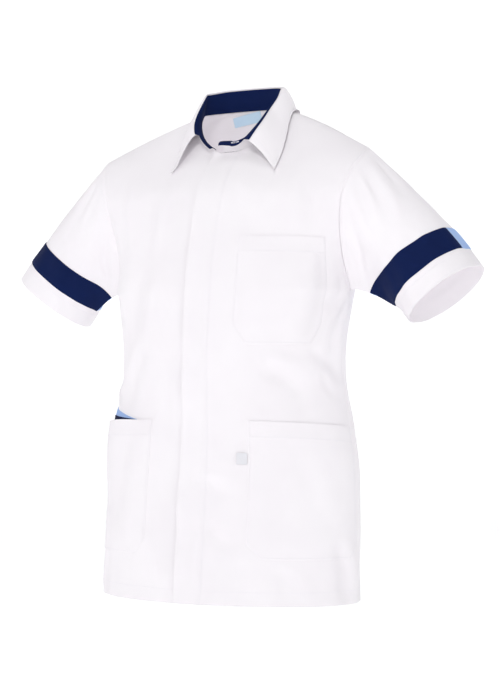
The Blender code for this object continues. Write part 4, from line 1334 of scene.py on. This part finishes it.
def neck_label_piece():
    """Blank label on the inside of the back, under the stand."""
    first, last, low, high = NECK_LABEL
    panel = Panel(nape, True, (-90, 90), (HEM, BACK_TOP))
    spread, heights = np.linspace(first, last, 16), np.linspace(low, high, 8)
    points, normals = grid_on(panel, spread, heights, -CLOTH - NECK_LABEL_CLEAR)
    return lay("neck_label", points, normals, BLUE_LABEL, LABEL_CLOTH)


pocket_label = pocket_label_piece()
neck_label = neck_label_piece()


def hem_stitches():
    """The turned hem is held by one row of stitches all the way round."""
    row = HEM + HEM_TURN
    ahead, behind = np.linspace(EDGE, 89.5, 120), np.linspace(0, 89.5, 110)
    pieces = {
        "left_hem_stitches": [("left_front", ahead)],
        "right_hem_stitches": [("right_front", ahead)],
        "back_hem_stitches": [("back_left", behind), ("back_right", behind)],
    }
    made = []
    for name, lines in pieces.items():
        runs = [run_on(panels[panel], line, row, ON_TOP) for panel, line in lines]
        made.append(stitches(name, runs, WHITE_THREAD))
    return made


left_hem, right_hem, back_hem = hem_stitches()


def place(thing, at, way, along=(0, 0, 1)):
    """Turns a piece modelled flat, facing +Z, to its place, and applies it."""
    z = Vector(way).normalized()
    x = Vector(along).cross(z).normalized()
    y = z.cross(x)
    turn = Matrix((x, y, z)).transposed().to_4x4()
    thing.matrix_world = Matrix.Translation(Vector(at)) @ turn
    only(thing)
    bpy.ops.object.transform_apply(location=True, rotation=True, scale=True)


def stand_spot(column, height, lift):
    """Point over the stand's outer face, and the way it faces."""
    j = int(np.argmin(np.abs(stand_columns - column)))
    s = int(round(height * STAND_STEPS))
    way = stand_ways[s, j]
    return stand_grid[s, j] + way * lift, way


def button_piece():
    """Four-hole button: a turned disc with a raised rim and a dished middle."""
    bpy.ops.object.select_all(action="DESELECT")
    bpy.ops.mesh.primitive_cylinder_add(
        vertices=40, radius=BUTTON_RADIUS, depth=BUTTON_THICK, location=(0, 0, BUTTON_THICK / 2)
    )
    disc = bpy.context.object
    disc.name = "four_hole_button"
    bpy.ops.object.mode_set(mode="EDIT")
    bpy.ops.mesh.select_all(action="DESELECT")
    shape = bmesh.from_edit_mesh(disc.data)
    for face in shape.faces:
        face.select = face.normal.z > 0.9
    bmesh.update_edit_mesh(disc.data)
    bpy.ops.mesh.inset(thickness=BUTTON_RIM, depth=0)
    bpy.ops.mesh.inset(thickness=BUTTON_DISH[0], depth=-BUTTON_DISH[1])
    bpy.ops.mesh.select_all(action="DESELECT")
    bpy.ops.object.mode_set(mode="OBJECT")
    soft = disc.modifiers.new("soft_rim", "BEVEL")
    soft.width = BUTTON_SOFTNESS
    soft.segments = 2
    soft.limit_method = "ANGLE"
    soft.angle_limit = math.radians(50)
    bpy.ops.object.modifier_apply(modifier=soft.name)
    holes = []
    for x, y in ((-1, -1), (-1, 1), (1, -1), (1, 1)):
        spot = (x * HOLE_SPREAD, y * HOLE_SPREAD, BUTTON_THICK / 2)
        bpy.ops.mesh.primitive_cylinder_add(vertices=14, radius=HOLE_RADIUS, depth=0.01, location=spot)
        holes.append(bpy.context.object)
    for hole in holes:
        only(disc)
        drill = disc.modifiers.new("hole", "BOOLEAN")
        drill.object = hole
        drill.operation = "DIFFERENCE"
        bpy.ops.object.modifier_apply(modifier=drill.name)
        bpy.data.objects.remove(hole, do_unlink=True)
    disc.data.materials.clear()
    disc.data.materials.append(BUTTON_RESIN)
    only(disc)
    bpy.ops.object.shade_smooth_by_angle(angle=math.radians(35))
    return disc


def thread_bars(name, spots, length, radius, material):
    """Short bars of thread, one rounded bar per spot (x, y, z, turn)."""
    bars = []
    for x, y, z, turn in spots:
        bpy.ops.mesh.primitive_uv_sphere_add(segments=10, ring_count=6, radius=1, location=(x, y, z))
        bar = bpy.context.object
        bar.scale = (length / 2, radius, radius)
        bar.rotation_euler = (0, 0, turn)
        bars.append(bar)
    bpy.ops.object.select_all(action="DESELECT")
    for bar in bars:
        bar.select_set(True)
    bpy.context.view_layer.objects.active = bars[0]
    bpy.ops.object.join()
    made = bpy.context.object
    made.name = name
    bpy.ops.object.transform_apply(location=True, rotation=True, scale=True)
    bpy.ops.object.shade_smooth()
    made.data.materials.clear()
    made.data.materials.append(material)
    return made


spot, way = stand_spot(*BUTTON_AT, BUTTON_OFF)
collar_button = button_piece()
place(collar_button, spot, way)
button_thread = thread_bars("button_thread", BUTTON_THREADS, *BUTTON_BAR, WHITE_THREAD)
place(button_thread, spot, way)

spot, way = stand_spot(*BUTTONHOLE_AT, -STAND_CLOTH - LINING_CLOTH - BUTTONHOLE_OFF)
hole_foot, _ = stand_spot(BUTTONHOLE_AT[0], 10 / STAND_STEPS, 0)
hole_top, _ = stand_spot(BUTTONHOLE_AT[0], 1, 0)
ring_spots = []
for turn in np.arange(BUTTONHOLE_BARS) * 2 * math.pi / BUTTONHOLE_BARS:
    x, y = BUTTONHOLE_HALF[0] * math.cos(turn), BUTTONHOLE_HALF[1] * math.sin(turn)
    ring_spots.append((x, y, 0.0, math.pi / 2))
buttonhole = thread_bars("buttonhole", ring_spots, *BUTTONHOLE_BAR, WHITE_THREAD)
place(buttonhole, spot, -way, hole_top - hole_foot)


# What each piece stands for, its cut and how it is held

SLEEVE_SHEETS = []
for key, slot, width, length, area in (
    # sleeve's piece, slot, width, length, flat area
    ("sleeve", "cloth_white", 0.400, 0.230, 0.079),
    ("band_front", "cloth_navy", 0.192, 0.040, None),
    ("band_back", "cloth_light_blue", 0.235, 0.040, None),
    ("cuff_hem", "cloth_white", 0.400, 0.026, None),
):
    for word, made, front in (("left", left, left_front), ("right", right, right_front)):
        is_sleeve = key == "sleeve"
        rests_on = [front] if is_sleeve else [made["sleeve"]]
        sewn_on = [made["cuff_stitches"]] if is_sleeve else []
        SLEEVE_SHEETS.append((made[key], f"{word}_{key}", slot, width, length, area, rests_on, sewn_on))

SHEETS = (
    # piece, node, slot, width, length, flat area, rests on, pieces with it
    (left_front, "left_front", "cloth_white", 0.330, 0.730, 0.184, [back_panel], [left_hem]),
    (right_front, "right_front", "cloth_white", 0.330, 0.730, 0.184, [left_front], [right_hem]),
    (back_panel, "back", "cloth_white", 0.560, 0.780, 0.354, [left_front, right_front], [back_hem]),
    (placket, "front_placket", "cloth_white", 0.044, 0.662, None, [left_front], [placket_stitches]),
    (chest_pocket, "chest_pocket", "cloth_white", 0.134, 0.153, 0.0204, [left_front], [chest_sewn]),
    (left_pocket, "left_pocket", "cloth_white", 0.172, 0.197, 0.0334, [left_front], [left_sewn]),
    (right_pocket, "right_pocket", "cloth_white", 0.173, 0.198, 0.0338, [right_front], [right_sewn]),
    (tape_navy, "mouth_tape_navy", "cloth_navy", 0.124, 0.019, 0.0020, [right_front], []),
    (tape_blue, "mouth_tape_blue", "cloth_light_blue", 0.124, 0.029, 0.0029, [right_front], []),
    *SLEEVE_SHEETS,
    (collar_stand, "collar_stand", "cloth_white", 0.420, 0.032, 0.0118, [back_panel], [buttonhole]),
    (stand_lining, "stand_lining", "cloth_navy", 0.420, 0.032, 0.0115, [collar_stand], []),
    (collar_leaf, "collar_leaf", "cloth_white", 0.430, 0.075, 0.0233, [collar_stand], [collar_sewing]),
    (pocket_label, "pocket_label", "label_white", 0.016, 0.016, None, [left_front], []),
    (neck_label, "neck_label", "label_light_blue", 0.044, 0.0155, None, [back_panel], []),
)

for piece, node, slot, width, length, area, rests_on, with_pieces in SHEETS:
    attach(piece, "root")
    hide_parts(node)
    for sewn in with_pieces:
        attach(sewn, "root")

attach(collar_button, "root")
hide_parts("collar_button")
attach(button_thread, "root")


# Studio: pale floor, soft light and the photograph's camera

FLOOR_Z = -1.02
FLOOR_RADIUS = 7.0
# Rim of the paper, from the floor up: how much further out and up each turn is
FLOOR_RIM = ((0.8, 0.06), (0.7, 0.24), (0.5, 0.5), (0.3, 0.8), (0.1, 1.2), (0.0, 1.6))
# Seamless studio paper, lit from behind so that it stays pale all round.
STAGE_WHITE = plain("lit_white_paper", "#F4F4F5", 0.9)
paper = STAGE_WHITE.node_tree.nodes["Principled BSDF"].inputs
paper["Emission Color"].default_value = colour("#FFFFFF")
paper["Emission Strength"].default_value = 0.52


def studio_floor():
    """Seamless paper: a wide disc whose rim rises all round."""
    bpy.ops.object.select_all(action="DESELECT")
    bpy.ops.mesh.primitive_circle_add(
        vertices=96, radius=FLOOR_RADIUS, fill_type="NGON", location=(0, 0, FLOOR_Z)
    )
    floor = bpy.context.object
    floor.name = "studio_floor"
    bpy.ops.object.mode_set(mode="EDIT")
    for out, up in FLOOR_RIM:
        bpy.ops.mesh.select_all(action="DESELECT")
        shape = bmesh.from_edit_mesh(floor.data)
        top = max(v.co.z for v in shape.verts)
        reach = max(v.co.xy.length for v in shape.verts)
        for edge in shape.edges:
            rim = all(v.co.z > top - 1e-4 and v.co.xy.length > reach - 1e-3 for v in edge.verts)
            edge.select = rim
        bmesh.update_edit_mesh(floor.data)
        bpy.ops.mesh.extrude_edges_move()
        share = (reach + out) / reach
        bpy.ops.transform.resize(value=(share, share, 1))
        bpy.ops.transform.translate(value=(0, 0, up))
    bpy.ops.object.mode_set(mode="OBJECT")
    only(floor)
    bpy.ops.object.transform_apply(location=True, rotation=True, scale=True)
    bpy.ops.object.shade_smooth_by_angle(angle=math.radians(40))
    floor.data.materials.append(STAGE_WHITE)


def softbox(name, at, aim, width, height, power):
    """A large even light, turned towards a point of the tunic."""
    light = bpy.data.lights.new(name, "AREA")
    light.shape = "RECTANGLE"
    light.size = width
    light.size_y = height
    light.energy = power
    lamp = bpy.data.objects.new(name, light)
    bpy.context.scene.collection.objects.link(lamp)
    lamp.location = at
    lamp.rotation_euler = (Vector(aim) - Vector(at)).to_track_quat("-Z", "Y").to_euler()


studio_floor()
CHEST_AT = (0, -0.04, -0.35)
softbox("key_light", (0.85, -2.85, 1.7), CHEST_AT, 0.9, 0.9, 29)
softbox("side_light", (-2.8, -0.9, 0.9), CHEST_AT, 1.2, 1.8, 7)
softbox("back_light", (0.4, 2.8, 1.5), CHEST_AT, 1.8, 1.4, 16)
softbox("top_light", (0.0, -0.3, 2.2), CHEST_AT, 1.2, 1.2, 12)
# Thin white cloth glows from inside; small lights in the body and the sleeves
# stand for that.
softbox("inner_glow", (0, -0.02, -0.36), (0, -0.02, 0.1), 0.16, 0.12, 0.20)
for side in (1, -1):
    softbox("sleeve_glow", (side * 0.21, -0.03, -0.16), CUFF_CENTRE * (side, 1, 1), 0.05, 0.05, 0.045)

world = bpy.data.worlds.new("studio_air")
bpy.context.scene.world = world
world.use_nodes = True
air = world.node_tree.nodes["Background"].inputs
air["Color"].default_value = colour("#FBFBFD")
air["Strength"].default_value = 0.26
bpy.context.scene.view_settings.view_transform = "Standard"

# The photograph looks level at the tunic from 27 degrees to its left.  The
# picture's size, the column of the tunic's axis and the row of the aiming
# height are in pixels.
PICTURE = (500, 700)
AXIS_COLUMN = 237
AIM_ROW = 368
DISTANCE = 2.8
TURN = math.radians(27)
AIM = (0, -0.025, -0.385)
LENS = 96.0
camera_data = bpy.data.cameras.new("photo_camera")
camera_data.lens = LENS
camera_data.sensor_width = 36.0
camera_data.shift_x = (PICTURE[0] / 2 - AXIS_COLUMN) / PICTURE[1]
camera_data.shift_y = (AIM_ROW - PICTURE[1] / 2) / PICTURE[1]
camera = bpy.data.objects.new("photo_camera", camera_data)
bpy.context.scene.collection.objects.link(camera)
camera.location = Vector(AIM) + DISTANCE * Vector((math.sin(TURN), -math.cos(TURN), 0))
camera.rotation_euler = (math.radians(90), 0, TURN)
bpy.context.scene.camera = camera
